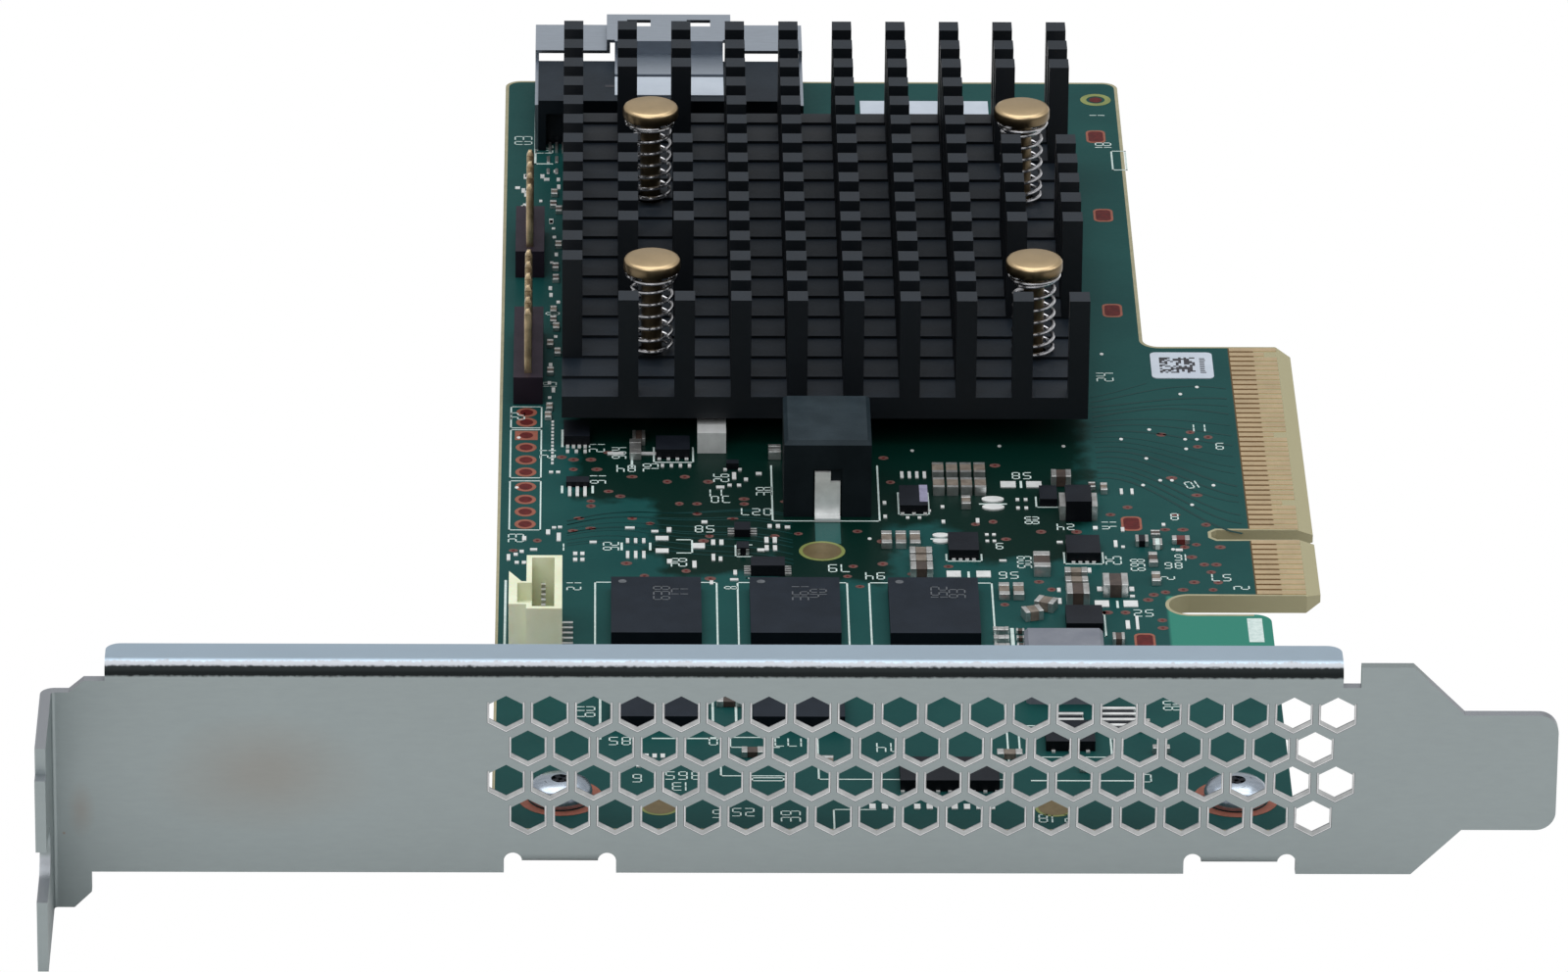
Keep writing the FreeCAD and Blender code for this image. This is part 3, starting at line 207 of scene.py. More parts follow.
def brushed_group():
    """Fine parallel lines along X, as on rolled and tumbled sheet, with faint cloudy patches."""
    group, given, out = group_shell("Brushed", {
        "Colour": COLOUR_A, "Line Colour": COLOUR_B, "Rough Low": 0.3, "Rough High": 0.45})
    place = group.nodes.new("ShaderNodeTexCoord").outputs["Object"]
    stretch = node_at(group, "ShaderNodeMapping", Scale=(0.25, 1.0, 1.0))
    join(group, (place, stretch.inputs["Vector"]))
    lines = noise(group, stretch.outputs["Vector"], Scale=2600.0, Detail=4.0, Roughness=0.7)
    cloud = noise(group, place, Scale=90.0, Detail=5.0, Roughness=0.6)
    both = arithmetic(group, "ADD", arithmetic(group, "MULTIPLY", lines, 0.6),
                      arithmetic(group, "MULTIPLY", cloud, 0.4))
    close_group(group, given, out, "Line Colour", both, (0.36, 0.64), both, lines)


def grouped_material(name, group, values, bump, strength=0.3, **plain):
    """A Principled material fed by a shared group; plain numbers go straight on the shader's sockets."""
    material = bpy.data.materials.new(name)
    tree = bare_tree(material)
    shader = node_at(tree, "ShaderNodeBsdfPrincipled")
    for key, value in plain.items():
        shader.inputs[key.replace("_", " ")].default_value = value
    surface = tree.nodes.new("ShaderNodeGroup")
    surface.node_tree = bpy.data.node_groups[group]
    for label, value in values.items():
        surface.inputs[label].default_value = value if isinstance(value, (int, float)) else (*value, 1)
    relief = node_at(tree, "ShaderNodeBump", Strength=strength, Distance=bump)
    out = tree.nodes.new("ShaderNodeOutputMaterial")
    join(tree, (surface.outputs["Colour"], shader.inputs["Base Color"]),
         (surface.outputs["Roughness"], shader.inputs["Roughness"]),
         (surface.outputs["Height"], relief.inputs["Height"]),
         (relief.outputs["Normal"], shader.inputs["Normal"]),
         (shader.outputs["BSDF"], out.inputs["Surface"]))
    return material


def mottled(name, colour, other, scale, grain, rough, bump=0.00002, **plain):
    """A finish from the Mottle group."""
    values = {"Colour": colour, "Other Colour": other, "Scale": scale, "Grain Scale": grain,
              "Rough Low": rough[0], "Rough High": rough[1]}
    return grouped_material(name, "Mottle", values, bump, **plain)


def brushed(name, colour, line, rough):
    """A metal finish from the Brushed group."""
    values = {"Colour": colour, "Line Colour": line, "Rough Low": rough[0], "Rough High": rough[1]}
    return grouped_material(name, "Brushed", values, 0.000008, Metallic=1.0)


def colour_feed(material):
    """A material's tree, its base colour input and what feeds it."""
    tree = material.node_tree
    shader = next(n for n in tree.nodes if n.type == "BSDF_PRINCIPLED")
    target = shader.inputs["Base Color"]
    return tree, target, target.links[0].from_socket


# ---------------------------------------------------------------- masks

def position_mask(tree, axis, low, high, wander=0.0):
    """0 at low and 1 at high along an axis of the model, in millimetres; wander makes the line uneven."""
    place, split = surface_parts(tree, "Position")
    value = split[axis]
    if wander:
        sway = arithmetic(tree, "SUBTRACT", noise(tree, place, Scale=420.0, Detail=3.0), 0.5)
        value = arithmetic(tree, "ADD", value, arithmetic(tree, "MULTIPLY", sway, wander * MM))
    return map_range(tree, value, low * MM, high * MM)


def facing_mask(tree, low, high):
    """0 where the surface's upward lean is below low, 1 where it is above high."""
    return map_range(tree, surface_parts(tree, "Normal")[1]["Z"], low, high)


def zone_mask(tree, zone, soft, wander=0.0):
    """1 inside a rectangle of the board: west, east, near and far sides in millimetres."""
    west, east, near, far = zone
    mask = position_mask(tree, "X", west - soft, west, wander)
    for axis, low, high in (("X", east + soft, east), ("Y", near - soft, near), ("Y", far + soft, far)):
        mask = arithmetic(tree, "MULTIPLY", mask, position_mask(tree, axis, low, high, wander))
    return mask


def patch_mask(tree, centre, reach, soft, ragged, scale):
    """1 inside an ellipsoid round a point, fading outwards over an uneven rim."""
    place = tree.nodes.new("ShaderNodeNewGeometry").outputs["Position"]
    shift = node_at(tree, "ShaderNodeMapping", vector_type="TEXTURE", Location=[c * MM for c in centre],
                    Scale=[r * MM for r in reach])
    size = node_at(tree, "ShaderNodeVectorMath", operation="LENGTH")
    join(tree, (place, shift.inputs["Vector"]), (shift.outputs["Vector"], size.inputs[0]))
    uneven = arithmetic(tree, "MULTIPLY", noise(tree, place, Scale=scale, Detail=4.0), ragged)
    rim = 1.0 + ragged / 2
    return map_range(tree, arithmetic(tree, "ADD", size.outputs["Value"], uneven), rim, rim - soft)


def paint_shade_on_sides(material, share, low=0.35, high=0.8):
    """Painted shade: multiply the base colour on steep faces, which turn away from the light."""
    tree, target, colour = colour_feed(material)
    dim = node_at(tree, "ShaderNodeMix", data_type="RGBA", blend_type="MULTIPLY")
    dim.inputs["Factor"].default_value = 1.0
    sockets = [i for i in dim.inputs if i.type == "RGBA"]
    sockets[1].default_value = (share, share, share, 1)
    join(tree, (colour, sockets[0]))
    dimmed = next(o for o in dim.outputs if o.type == "RGBA")
    join(tree, (blend_colours(tree, facing_mask(tree, low, high), dimmed, colour), target))
    return material


# ---------------------------------------------------------------- finishes

# Areas of the board, in millimetres: west, east, near and far sides. The darker ones have no copper pour; the
# first of them also holds painted shadow along the heatsink's front edge.
DARK_AND_SHADOW_ZONES = ((-61.8, -19.4, 7.4, 60), (-55.2, -44.6, -3, 7.6), (-45, -36.4, -9, 13),
              (-36.6, -19.4, 2.5, 12.8), (-30, -20.5, -4.5, 2.8), (-54.5, -46.5, -7.5, -3.2))
EAR_ZONE = (-12.8, 10, -30.6, -12.4)
FINGER_ZONE = (-5.4, 10, -12.15, 60)
FINGER_TIP_ZONE = (-3.2, 10, -12.15, 60)
# Upward normals above this share belong to the board's flat faces.
FLAT_NORMAL = 0.97
# Stains of the bracket: centre and reach in millimetres, strength.
STAINS = (((-87, -58, 5.6), (9.5, 3, 5.4), 0.32), ((-101.6, -58, 2.3), (1.2, 3, 2.6), 0.3),
          ((-103, -58, 0.3), (0.16, 3, 0.16), 0.9))
FLANGE_EAST = -0.7
BEND_HIGH = 1.3


def board_material(colours):
    """Solder mask on both faces, laminate on the edges and under the contacts."""
    material = mottled("solder_mask", colours.mask, colours.mask_pour, 95.0, 2500.0, (0.34, 0.46), 0.00001,
                       strength=0.15, Specular_IOR_Level=0.07)
    tree, target, colour = colour_feed(material)
    # Darker zones; the first also holds painted shadow along the heatsink's front edge.
    for zone in DARK_AND_SHADOW_ZONES:
        colour = blend_colours(tree, zone_mask(tree, zone, 1.3, 4.0), colour, colours.mask_deep_and_shadow)
    for zone, soft, tone in ((EAR_ZONE, 0.3, colours.mask_light), (FINGER_ZONE, 0.1, colours.finger_gap),
                             (FINGER_TIP_ZONE, 0.1, colours.laminate)):
        colour = blend_colours(tree, zone_mask(tree, zone, soft), colour, tone)
    lean = arithmetic(tree, "ABSOLUTE", surface_parts(tree, "Normal")[1]["Z"])
    flat = arithmetic(tree, "GREATER_THAN", lean, FLAT_NORMAL)
    join(tree, (blend_colours(tree, flat, colours.laminate, colour), target))
    return material


def bracket_material(colours):
    """Nickel-plated sheet: cloudy flat face, stains near its left end, and painted light: a dark reflection
    and a highlight along the long bend, a bluish sky reflection on the flange's top and highlights on cut
    edges that face up.
    """
    material = brushed("bracket_nickel", colours.nickel, colours.nickel_line, (0.36, 0.5))
    tree, target, colour = colour_feed(material)
    for centre, reach, strength in STAINS:
        mask = arithmetic(tree, "MULTIPLY", patch_mask(tree, centre, reach, 0.9, 0.5, 120.0), strength)
        colour = blend_colours(tree, mask, colour, colours.stain)
    # Painted reflection on the outer side of the long bend, from the flat face up to the flange: a dark band,
    # then a highlight with a speckled edge, then the flange's top in a bluish painted sky reflection.
    top = corners("bracket")[1].z
    foot = top - BEND_HIGH
    place, split = surface_parts(tree, "Position")
    speckle = arithmetic(tree, "MULTIPLY", noise(tree, place, Scale=2600.0, Detail=2.0), 0.22 * MM)
    height = arithmetic(tree, "ADD", split["Z"], speckle)
    tones = ramp(tree, map_range(tree, height, foot * MM, (top + 0.1) * MM), [
        (0.0, colours.nickel), (0.16, colours.nickel), (0.3, colours.bend_dark_reflection), (0.74, colours.bend_dark_reflection),
        (0.82, colours.bend_highlight), (0.93, colours.bend_highlight), (0.97, colours.flange)])
    bend = arithmetic(tree, "MULTIPLY", position_mask(tree, "Z", foot - 0.05, foot),
                      position_mask(tree, "X", FLANGE_EAST + 0.1, FLANGE_EAST))
    colour = blend_colours(tree, bend, colour, tones)
    # Painted highlight on cut edges that face up: the vents' lower walls, shoulders and tongue.
    lip = arithmetic(tree, "MULTIPLY", facing_mask(tree, 0.4, 0.6),
                     position_mask(tree, "Z", foot + 0.1, foot))
    join(tree, (blend_colours(tree, lip, colour, colours.bend_highlight), target))
    return material


def dimmed(colour, share):
    """A darker tone of a colour."""
    return [value * share for value in colour]


def metal_finishes(colours):
    """Plated, turned, drawn and soldered metal, by a plain name."""
    gold, brass, anodised = colours.gold, colours.brass, colours.anodised
    return {
        "bracket": bracket_material(colours),
        "gold": mottled("contact_gold", gold, dimmed(gold, 0.86), 300, 3000, (0.28, 0.42), Metallic=1.0),
        "post gold": mottled("post_gold", dimmed(gold, 0.75), dimmed(gold, 0.35), 700, 3000, (0.25, 0.4),
                             Metallic=1.0),
        # Brass, shell steel and the heatsink carry painted shade on their steep sides.
        "brass": paint_shade_on_sides(mottled("turned_brass", brass, dimmed(brass, 0.88), 400, 3000, (0.3, 0.42),
                                      0.000004, Metallic=1.0), 0.3, 0.3, 0.6),
        "spring": brushed("spring_wire", (0.72, 0.72, 0.74), (0.55, 0.55, 0.58), (0.14, 0.25)),
        "steel": paint_shade_on_sides(brushed("shell_steel", (0.55, 0.62, 0.71), (0.48, 0.54, 0.62), (0.3, 0.42)),
                              0.3, 0.12, 0.4),
        "screw": brushed("screw_plate", (0.6, 0.68, 0.78), (0.4, 0.47, 0.56), (0.2, 0.32)),
        "lid": brushed("lid_nickel", (0.6, 0.6, 0.58), (0.52, 0.52, 0.5), (0.28, 0.4)),
        # Painted highlights and a painted shadow line for the vents' edges, not metals of their own.
        "rim": mottled("vent_edge_highlight", (0.54, 0.55, 0.55), (0.4, 0.41, 0.41), 900, 3500, (0.35, 0.5),
                       Metallic=0.3),
        "rim glint": mottled("rim_glint", (0.95, 0.95, 0.96), (0.8, 0.8, 0.82), 900, 3500, (0.35, 0.5),
                             Metallic=0.2),
        "rim line": mottled("rim_shadow", (0.1, 0.1, 0.105), (0.14, 0.14, 0.145), 900, 3500, (0.5, 0.6)),
        "tin": mottled("solder_tin", (0.72, 0.74, 0.74), (0.5, 0.5, 0.49), 900, 3500, (0.22, 0.45), 0.00003,
                       Metallic=0.9),
        "white tin": mottled("bright_solder", (0.88, 0.9, 0.9), (0.75, 0.77, 0.77), 900, 3500, (0.3, 0.45),
                             Metallic=0.4),
        "lilac": mottled("lilac_lead", (0.36, 0.35, 0.5), (0.28, 0.27, 0.4), 1500, 3000, (0.3, 0.4),
                         Metallic=0.3),
        "anodised": paint_shade_on_sides(mottled("heatsink_anodised", anodised, dimmed(anodised, 0.8), 300, 5000,
                                         (0.42, 0.55), 0.000012, Specular_IOR_Level=0.35), 0.35),
    }


# Dull dark plastics: material name, two tones, scale and grain, roughness, relief, painted shade of steep
# sides.
DULL = {
    "mould": ("chip_mould", (0.007, 0.009, 0.014), (0.01, 0.013, 0.019),
        500, 6000, (0.4, 0.5), 0.000015, 0.35),
    "memory": ("memory_mould", (0.008, 0.013, 0.021), (0.011, 0.017, 0.027),
        500, 6000, (0.4, 0.5), 0.000012, 0.35),
    "core": ("pressed_core", (0.013, 0.023, 0.03), (0.021, 0.034, 0.043),
        400, 5000, (0.42, 0.58), 0.00002, 0.35),
    "black": ("black_plastic", (0.009, 0.015, 0.023), (0.013, 0.021, 0.031),
        350, 5000, (0.34, 0.46), 0.00001, 0.3),
    "plum": ("header_plastic", (0.02, 0.015, 0.026), (0.03, 0.022, 0.036),
        350, 5000, (0.34, 0.46), 0.00001, 0.5),
}
# Plainer finishes: material name, two tones, scale, grain, roughness and, where it isn't 0.02 mm, relief.
PLAIN = {
    "flat core": ("grey_core", (0.14, 0.155, 0.19), (0.18, 0.195, 0.23), 400, 4000, (0.45, 0.6)),
    "carrier": ("carrier_laminate", (0.03, 0.11, 0.07), (0.04, 0.13, 0.08), 300, 3000, (0.35, 0.5)),
    "pad": ("filled_rubber", (0.5, 0.5, 0.53), (0.42, 0.42, 0.46), 600, 3000, (0.7, 0.85)),
    "tan": ("ceramic_tan", (0.2, 0.17, 0.14), (0.13, 0.105, 0.085), 1500, 4000, (0.35, 0.5)),
    "brown": ("ceramic_brown", (0.065, 0.045, 0.036), (0.04, 0.028, 0.024), 1500, 4000, (0.35, 0.5)),
    "red body": ("ceramic_red", (0.12, 0.02, 0.018), (0.08, 0.015, 0.014), 1500, 4000, (0.3, 0.4)),
    "paper": ("label_paper", (0.52, 0.58, 0.66), (0.47, 0.53, 0.61), 400, 3000, (0.45, 0.6), 0.000006),
    "ink": ("label_ink", (0.02, 0.021, 0.03), (0.03, 0.031, 0.04), 2000, 3000, (0.5, 0.6), 0.000002),
    "print": ("board_print", (0.62, 0.72, 0.7), (0.48, 0.6, 0.58), 2500, 6000, (0.55, 0.7), 0.000004),
    "faint print": ("worn_print", (0.1, 0.11, 0.125), (0.06, 0.07, 0.08), 2500, 6000, (0.5, 0.65)),
}
# Flat marks under the mask, as dull as the mask itself, and a painted sheen on the board.
MASKED = {
    "red pad": ("masked_pad", (0.11, 0.012, 0.012), (0.07, 0.009, 0.009), 1500, 3000, (0.35, 0.5)),
    "pad ring": ("pad_ring", (0.3, 0.1, 0.07), (0.24, 0.09, 0.06), 1500, 3000, (0.35, 0.5)),
    "via": ("masked_via", (0.16, 0.075, 0.066), (0.1, 0.05, 0.045), 1500, 3000, (0.35, 0.5)),
    "board shine": ("painted_board_sheen", (0.02, 0.09, 0.085), (0.025, 0.1, 0.095), 200, 2500, (0.34, 0.46)),
}


def make_finishes(colours):
    """Every finish of the card, by a plain name."""
    mottle_group()
    brushed_group()
    dull = {"Specular_IOR_Level": 0.14}
    made = {"mask": board_material(colours), **metal_finishes(colours)}
    for key, (*values, share) in DULL.items():
        # Painted shade on the steep sides of the dull plastics.
        made[key] = paint_shade_on_sides(mottled(*values, **dull), share)
    for key, values in PLAIN.items():
        made[key] = mottled(*values)
    for key, values in MASKED.items():
        made[key] = mottled(*values, **dull)
    made["cream"] = mottled("natural_nylon", (0.8, 0.84, 0.66), (0.7, 0.73, 0.52), 260, 3000, (0.38, 0.5),
                            0.00001, Subsurface_Weight=0.15, Subsurface_Scale=0.0006)
    made["ring"] = mottled("ring_copper", (0.26, 0.3, 0.09), (0.2, 0.24, 0.07), 900, 3000, (0.3, 0.45),
                           Metallic=0.3)
    made["round pad"] = mottled("round_pad", (0.2, 0.15, 0.07), (0.16, 0.12, 0.055), 900, 3000, (0.3, 0.45),
                                Metallic=0.5)
    made["trace"] = mottled("masked_trace", colours.trace, dimmed(colours.trace, 0.9), 800, 3000, (0.3, 0.42),
                            **dull)
    made["margin"] = mottled("bare_laminate", colours.laminate, dimmed(colours.laminate, 0.85), 800, 3000,
                             (0.45, 0.6))
    return made


FINISH = {}
NODE_FINISH = {
    "circuit_board": "mask", "bracket": "bracket", "edge_contacts": "gold", "heatsink": "anodised",
    "controller_carrier": "carrier", "controller_lid": "lid", "thermal_pad": "pad", "power_choke": "core",
    "choke_straps": "white tin", "flat_inductor": "flat core", "inductor_feet": "tin",
    "port_housing": "black", "port_blade": "black", "port_shell": "steel", "port_tails": "tin",
    "near_header_carrier": "plum", "far_header_carrier": "plum", "power_socket": "cream",
    "socket_blades": "tin", "socket_leads": "tin",
    "package_leads": "tin", "capacitor_ends": "tin", "silver_capacitor": "white tin",
    "ceramic_capacitors": "tan", "solder_side_capacitors": "tan", "port_label": "paper",
    "board_label": "paper", "code_label": "paper",
    **{"memory_chip_%d" % number: "memory" for number in range(1, 6)},
}


# ---------------------------------------------------------------- outlines in plan, in millimetres

def rectangle(west, near, east, far):
    """Corners of a rectangle."""
    return [(west, near), (east, near), (east, far), (west, far)]


def swung(outline, turn, x, y):
    """An outline about the origin, turned and moved to a point."""
    c, s = math.cos(turn), math.sin(turn)
    return [(x + u * c - v * s, y + u * s + v * c) for u, v in outline]


def oval(x, y, across, along, sides):
    """Points round an oval."""
    turns = [2 * math.pi * i / sides for i in range(sides)]
    return [(x + across / 2 * math.cos(a), y + along / 2 * math.sin(a)) for a in turns]


def rounded(x, y, across, along, radius, steps=5):
    """A rectangle with round corners about a point."""
    points = []
    for side_x, side_y, start in ((1, 1, 0), (-1, 1, 90), (-1, -1, 180), (1, -1, 270)):
        for k in range(steps + 1):
            angle = math.radians(start + 90 * k / steps)
            points.append((x + side_x * (across / 2 - radius) + radius * math.cos(angle),
                           y + side_y * (along / 2 - radius) + radius * math.sin(angle)))
    return points


def heading(path, i):
    """The direction of a path at one of its points."""
    return (path[min(i + 1, len(path) - 1)] - path[max(i - 1, 0)]).normalized()


# ---------------------------------------------------------------- mesh helpers

# Strokes of a figure as shares of its width and height, and the strokes that each figure has.
STROKES = {"a": (0, 1, 1, 1), "b": (1, 0.5, 1, 1), "c": (1, 0, 1, 0.5), "d": (0, 0, 1, 0),
           "e": (0, 0, 0, 0.5), "f": (0, 0.5, 0, 1), "g": (0, 0.5, 1, 0.5)}
FIGURES = dict(zip("0123456789", ("abcdef", "bc", "abged", "abgcd", "fgbc", "afgcd", "afgedc", "abc",
                                  "abcdefg", "abcdfg")))
INK_STROKE = 0.12
SHARP_EDGE = 0.6
SMOOTH_BELOW = math.radians(35)


class Shape:
    """Collects the faces of one piece, in millimetres, then becomes a Blender object."""

    def __init__(self):
        self.mesh = bmesh.new()

    def points(self, places):
        """Mesh points at places in space."""
        return [self.mesh.verts.new((x * MM, y * MM, z * MM)) for x, y, z in places]

    def level(self, outline, z):
        """Mesh points of a plan outline at one height."""
        return self.points([(x, y, z) for x, y in outline])

    def wall(self, lower, upper):
        """Faces between two closed rows of points."""
        for i in range(len(lower)):
            j = (i + 1) % len(lower)
            self.mesh.faces.new((lower[i], lower[j], upper[j], upper[i]))

    def loft(self, rows):
        """A closed solid through rows of points."""
        self.mesh.faces.new(rows[0][::-1])
        self.mesh.faces.new(rows[-1])
        for lower, upper in zip(rows, rows[1:]):
            self.wall(lower, upper)

    def strip(self, front, back):
        """A thin strip between two rows, each of which runs along one side and back along the other."""
        last = len(front) - 1
        for i in range(len(front) // 2 - 1):
            quad = (i, i + 1, last - i - 1, last - i)
            self.mesh.faces.new([front[k] for k in quad])
            self.mesh.faces.new([back[k] for k in reversed(quad)])
        self.wall(back, front)

    def prism(self, outline, low, high):
        """A flat-sided solid over an outline in plan."""
        self.loft([self.level(outline, low), self.level(outline, high)])

    def box(self, west, near, east, far, low, high, turn=0.0, about=None):
        """A box, turned in plan about its middle or about a named point."""
        x, y = about or ((west + east) / 2, (near + far) / 2)
        self.prism(swung(rectangle(west - x, near - y, east - x, far - y), turn, x, y), low, high)

    def patch(self, x, y, across, along, high, low=0.0, turn=0.0):
        """A box in plan round a point, from the board up."""
        self.box(x - across / 2, y - along / 2, x + across / 2, y + along / 2, low, high, turn)

    def disc(self, x, y, low, high, across, along=None, sides=20):
        """A round or oval flat piece."""
        self.prism(oval(x, y, across, along or across, sides), low, high)

    def ring(self, x, y, high, inner, outer, sides=32):
        """A flat ring on the board."""
        rows = [self.level(oval(x, y, across, across, sides), z)
                for across, z in ((inner, 0.0), (outer, 0.0), (outer, high), (inner, high))]
        for lower, upper in zip(rows, rows[1:] + rows[:1]):
            self.wall(lower, upper)

    def frame(self, west, near, east, far, line, high, gaps=()):
        """A printed rectangle outline; gaps names sides left out."""
        sides = {"near": (west, near, east, near + line), "far": (west, far - line, east, far),
                 "left": (west, near, west + line, far), "right": (east - line, near, east, far)}
        for name, bar in sides.items():
            if name not in gaps:
                self.box(*bar, 0.0, high)

    def turned(self, x, y, profile, sides=40):
        """A lathe piece from (radius, height) pairs, closed on its axis at both ends."""
        self.loft([self.level(oval(x, y, 2 * radius, 2 * radius, sides), z) for radius, z in profile])

    def tube(self, places, radius, sides=8):
        """Round wire along places in space that don't run straight up."""
        path = [Vector(place) for place in places]
        turns = [2 * math.pi * k / sides for k in range(sides)]
        rings = []
        for i, point in enumerate(path):
            ahead = heading(path, i)
            side = ahead.cross(Vector((0, 0, 1))).normalized()
            lift = side.cross(ahead).normalized()
            places = [(point + side * radius * math.cos(a) + lift * radius * math.sin(a)) * MM for a in turns]
            rings.append([self.mesh.verts.new(place) for place in places])
        self.loft(rings)

    def ribbon(self, places, width, high):
        """A thin strip on the board along places in plan."""
        path = [Vector((*place, 0)) for place in places]
        left, right = [], []
        for i, point in enumerate(path):
            ahead = heading(path, i)
            side = Vector((-ahead.y, ahead.x, 0)) * (width / 2)
            left.append(point + side)
            right.append(point - side)
        outline = [(v.x, v.y) for v in right + left[::-1]]
        self.strip(self.level(outline, high), self.level(outline, 0.0))

    def numeral(self, text, x, y, height, turn, low, high):
        """Plain numerals drawn with straight strokes; (x, y) is the middle of the row, turn is in degrees."""
        wide, step = height * 0.46, height * 0.76
        line = INK_STROKE / 2
        for place, figure in enumerate(text):
            start = (place - (len(text) - 1) / 2) * step - wide / 2
            for name in FIGURES[figure]:
                west, near, east, far = STROKES[name]
                stroke = rectangle(start + west * wide - line, (near - 0.5) * height - line,
                                   start + east * wide + line, (far - 0.5) * height + line)
                self.prism(swung(stroke, math.radians(turn), x, y), low, high)

    def piece(self, name, finish, slot, bevel=0.0, smooth=False):
        """Make the object, give it its finish and let it ride on the card."""
        bmesh.ops.recalc_face_normals(self.mesh, faces=self.mesh.faces)
        if bevel:
            edges = [e for e in self.mesh.edges if e.is_manifold and e.calc_face_angle(0) > SHARP_EDGE]
            bmesh.ops.bevel(self.mesh, geom=edges, offset=bevel * MM, segments=2, profile=0.6,
                            affect="EDGES", clamp_overlap=True)
        data = bpy.data.meshes.new(name)
        self.mesh.to_mesh(data)
        self.mesh.free()
        data.materials.append(FINISH[finish])
        made = bpy.data.objects.new(name, data)
        bpy.context.scene.collection.objects.link(made)
        if smooth:
            for face in data.polygons:
                face.use_smooth = True
            made.modifiers.new("Smooth by angle", "EDGE_SPLIT").split_angle = SMOOTH_BELOW
        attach(made, ROOT)
        return made


CAP_SHARE = 0.27
CAP_PROUD = 0.02
CHIP_BEVEL = 0.05
FINISH_SLOT = {"tin": "tin", "white tin": "tin", "lilac": "tin", "tan": "ceramic_tan", "brown": "ceramic_tan",
               "red body": "ceramic_tan", "mould": "chip_mould", "round pad": "gold", "ring": "gold",
               "rim": "bracket_steel", "rim glint": "bracket_steel", "rim line": "bracket_steel"}


class Parts(dict):
    """Shapes sorted by finish, made when first asked for."""

    def __missing__(self, finish):
        self[finish] = Shape()
        return self[finish]

    def chip(self, x, y, across, along, height, body, turn=0.0, sideways=False):
        """A chip part: a ceramic body with a metal cap at both ends, near and far or left and right."""
        west, near, east, far = x - across / 2, y - along / 2, x + across / 2, y + along / 2
        if sideways:
            cap = across * CAP_SHARE
            ends = ((west, near, west + cap, far), (east - cap, near, east, far))
            middle = (west + cap, near + CAP_PROUD, east - cap, far - CAP_PROUD)
        else:
            cap = along * CAP_SHARE
            ends = ((west, near, east, near + cap), (west, far - cap, east, far))
            middle = (west + CAP_PROUD, near + cap, east - CAP_PROUD, far - cap)
        for end in ends:
            self["tin"].box(*end, 0, height, turn, (x, y))
        self[body].box(*middle, 0, height - CAP_PROUD, turn, (x, y))

    def pieces(self, label):
        """Turn every shape into a piece."""
        for finish, shape in self.items():
            bevel = CHIP_BEVEL if finish in ("tin", "tan", "brown") else 0.0
            name = label + "_" + finish.replace(" ", "_")
            shape.piece(name, finish, FINISH_SLOT.get(finish, "board"), bevel)


# ---------------------------------------------------------------- settings

def tint(label, note, *value):
    """A colour in the panel."""
    return bpy.props.FloatVectorProperty(name=label, description=note, subtype="COLOR", default=value)


def amount(label, note, value, least):
    """A size or count in the panel, with its lowest value."""
    return bpy.props.FloatProperty(name=label, description=note, default=value, min=least)


class CardColours(bpy.types.PropertyGroup):
    """Colours of the card's main finishes."""
    mask: tint("Solder mask", "Main colour of the board", 0.006, 0.053, 0.052)
    mask_pour: tint("Mask over copper", "Board colour over copper areas", 0.009, 0.066, 0.063)
    # Also painted shadow along the heatsink's front edge.
    mask_deep_and_shadow: tint("Mask over bare laminate", "Darker areas of the board", 0.0007, 0.015, 0.011)
    mask_light: tint("Mask of the ear", "Lighter green beside the contacts", 0.032, 0.2, 0.15)
    laminate: tint("Laminate edge", "Cut edges of the board", 0.36, 0.335, 0.21)
    finger_gap: tint("Between contacts", "Laminate between the contacts", 0.12, 0.07, 0.03)
    gold: tint("Contact gold", "Plating of contacts and posts", 0.85, 0.66, 0.41)
    brass: tint("Brass", "Spring pins", 0.62, 0.47, 0.28)
    nickel: tint("Bracket", "Plating of the bracket", 0.34, 0.385, 0.39)
    nickel_line: tint("Bracket grain", "Darker grain of the bracket", 0.328, 0.372, 0.377)
    # Painted light on the bracket: a dark reflection below the bend, a highlight along bends and up-facing
    # edges, and a bluish sky reflection on the flange's top.
    bend_dark_reflection: tint("Bend, lower side", "Dark band below the flange's bend", 0.022, 0.026, 0.027)
    bend_highlight: tint("Bend, upper side", "Bright line along bends and edges", 0.37, 0.39, 0.42)
    flange: tint("Flange", "Upper side of the bracket's flange", 0.46, 0.57, 0.67)
    stain: tint("Stain", "Handling stains of the bracket", 0.3, 0.22, 0.16)
    anodised: tint("Heatsink", "Anodised finish", 0.0062, 0.0125, 0.021)
    trace: tint("Traces", "Mask over copper lines", 0.004, 0.04, 0.04)


class CardSizes(bpy.types.PropertyGroup):
    """Sizes of what only the dressed model has, in millimetres unless a note says otherwise."""
    print_line: amount("Print line", "Width of printed lines", 0.2, 0.05)
    print_thick: amount("Print thickness", "Height of print above the mask", 0.02, 0.005)
    spring_wire: amount("Spring wire", "Wire of the heatsink springs", 0.34, 0.1)
    spring_reach: amount("Spring radius", "Middle of the wire from the spring's axis", 1.74, 1.0)
    spring_turns: amount("Spring turns", "Turns of each spring", 7.5, 2)
    pin_round: amount("Pin head edge", "Chamfer of a spring pin's head", 0.3, 0.05)
    # The vent's bright lip is a painted highlight.
    rim_width: amount("Vent rim", "Width of a vent's bright lip, as a share of its size", 0.2, 0.01)
    mask_margin: amount("Mask margin", "Bare laminate along the board's outline", 0.3, 0.05)
    post_tip: amount("Post tip", "Length of a header post's rounded tip", 0.5, 0.1)


# ---------------------------------------------------------------- pieces

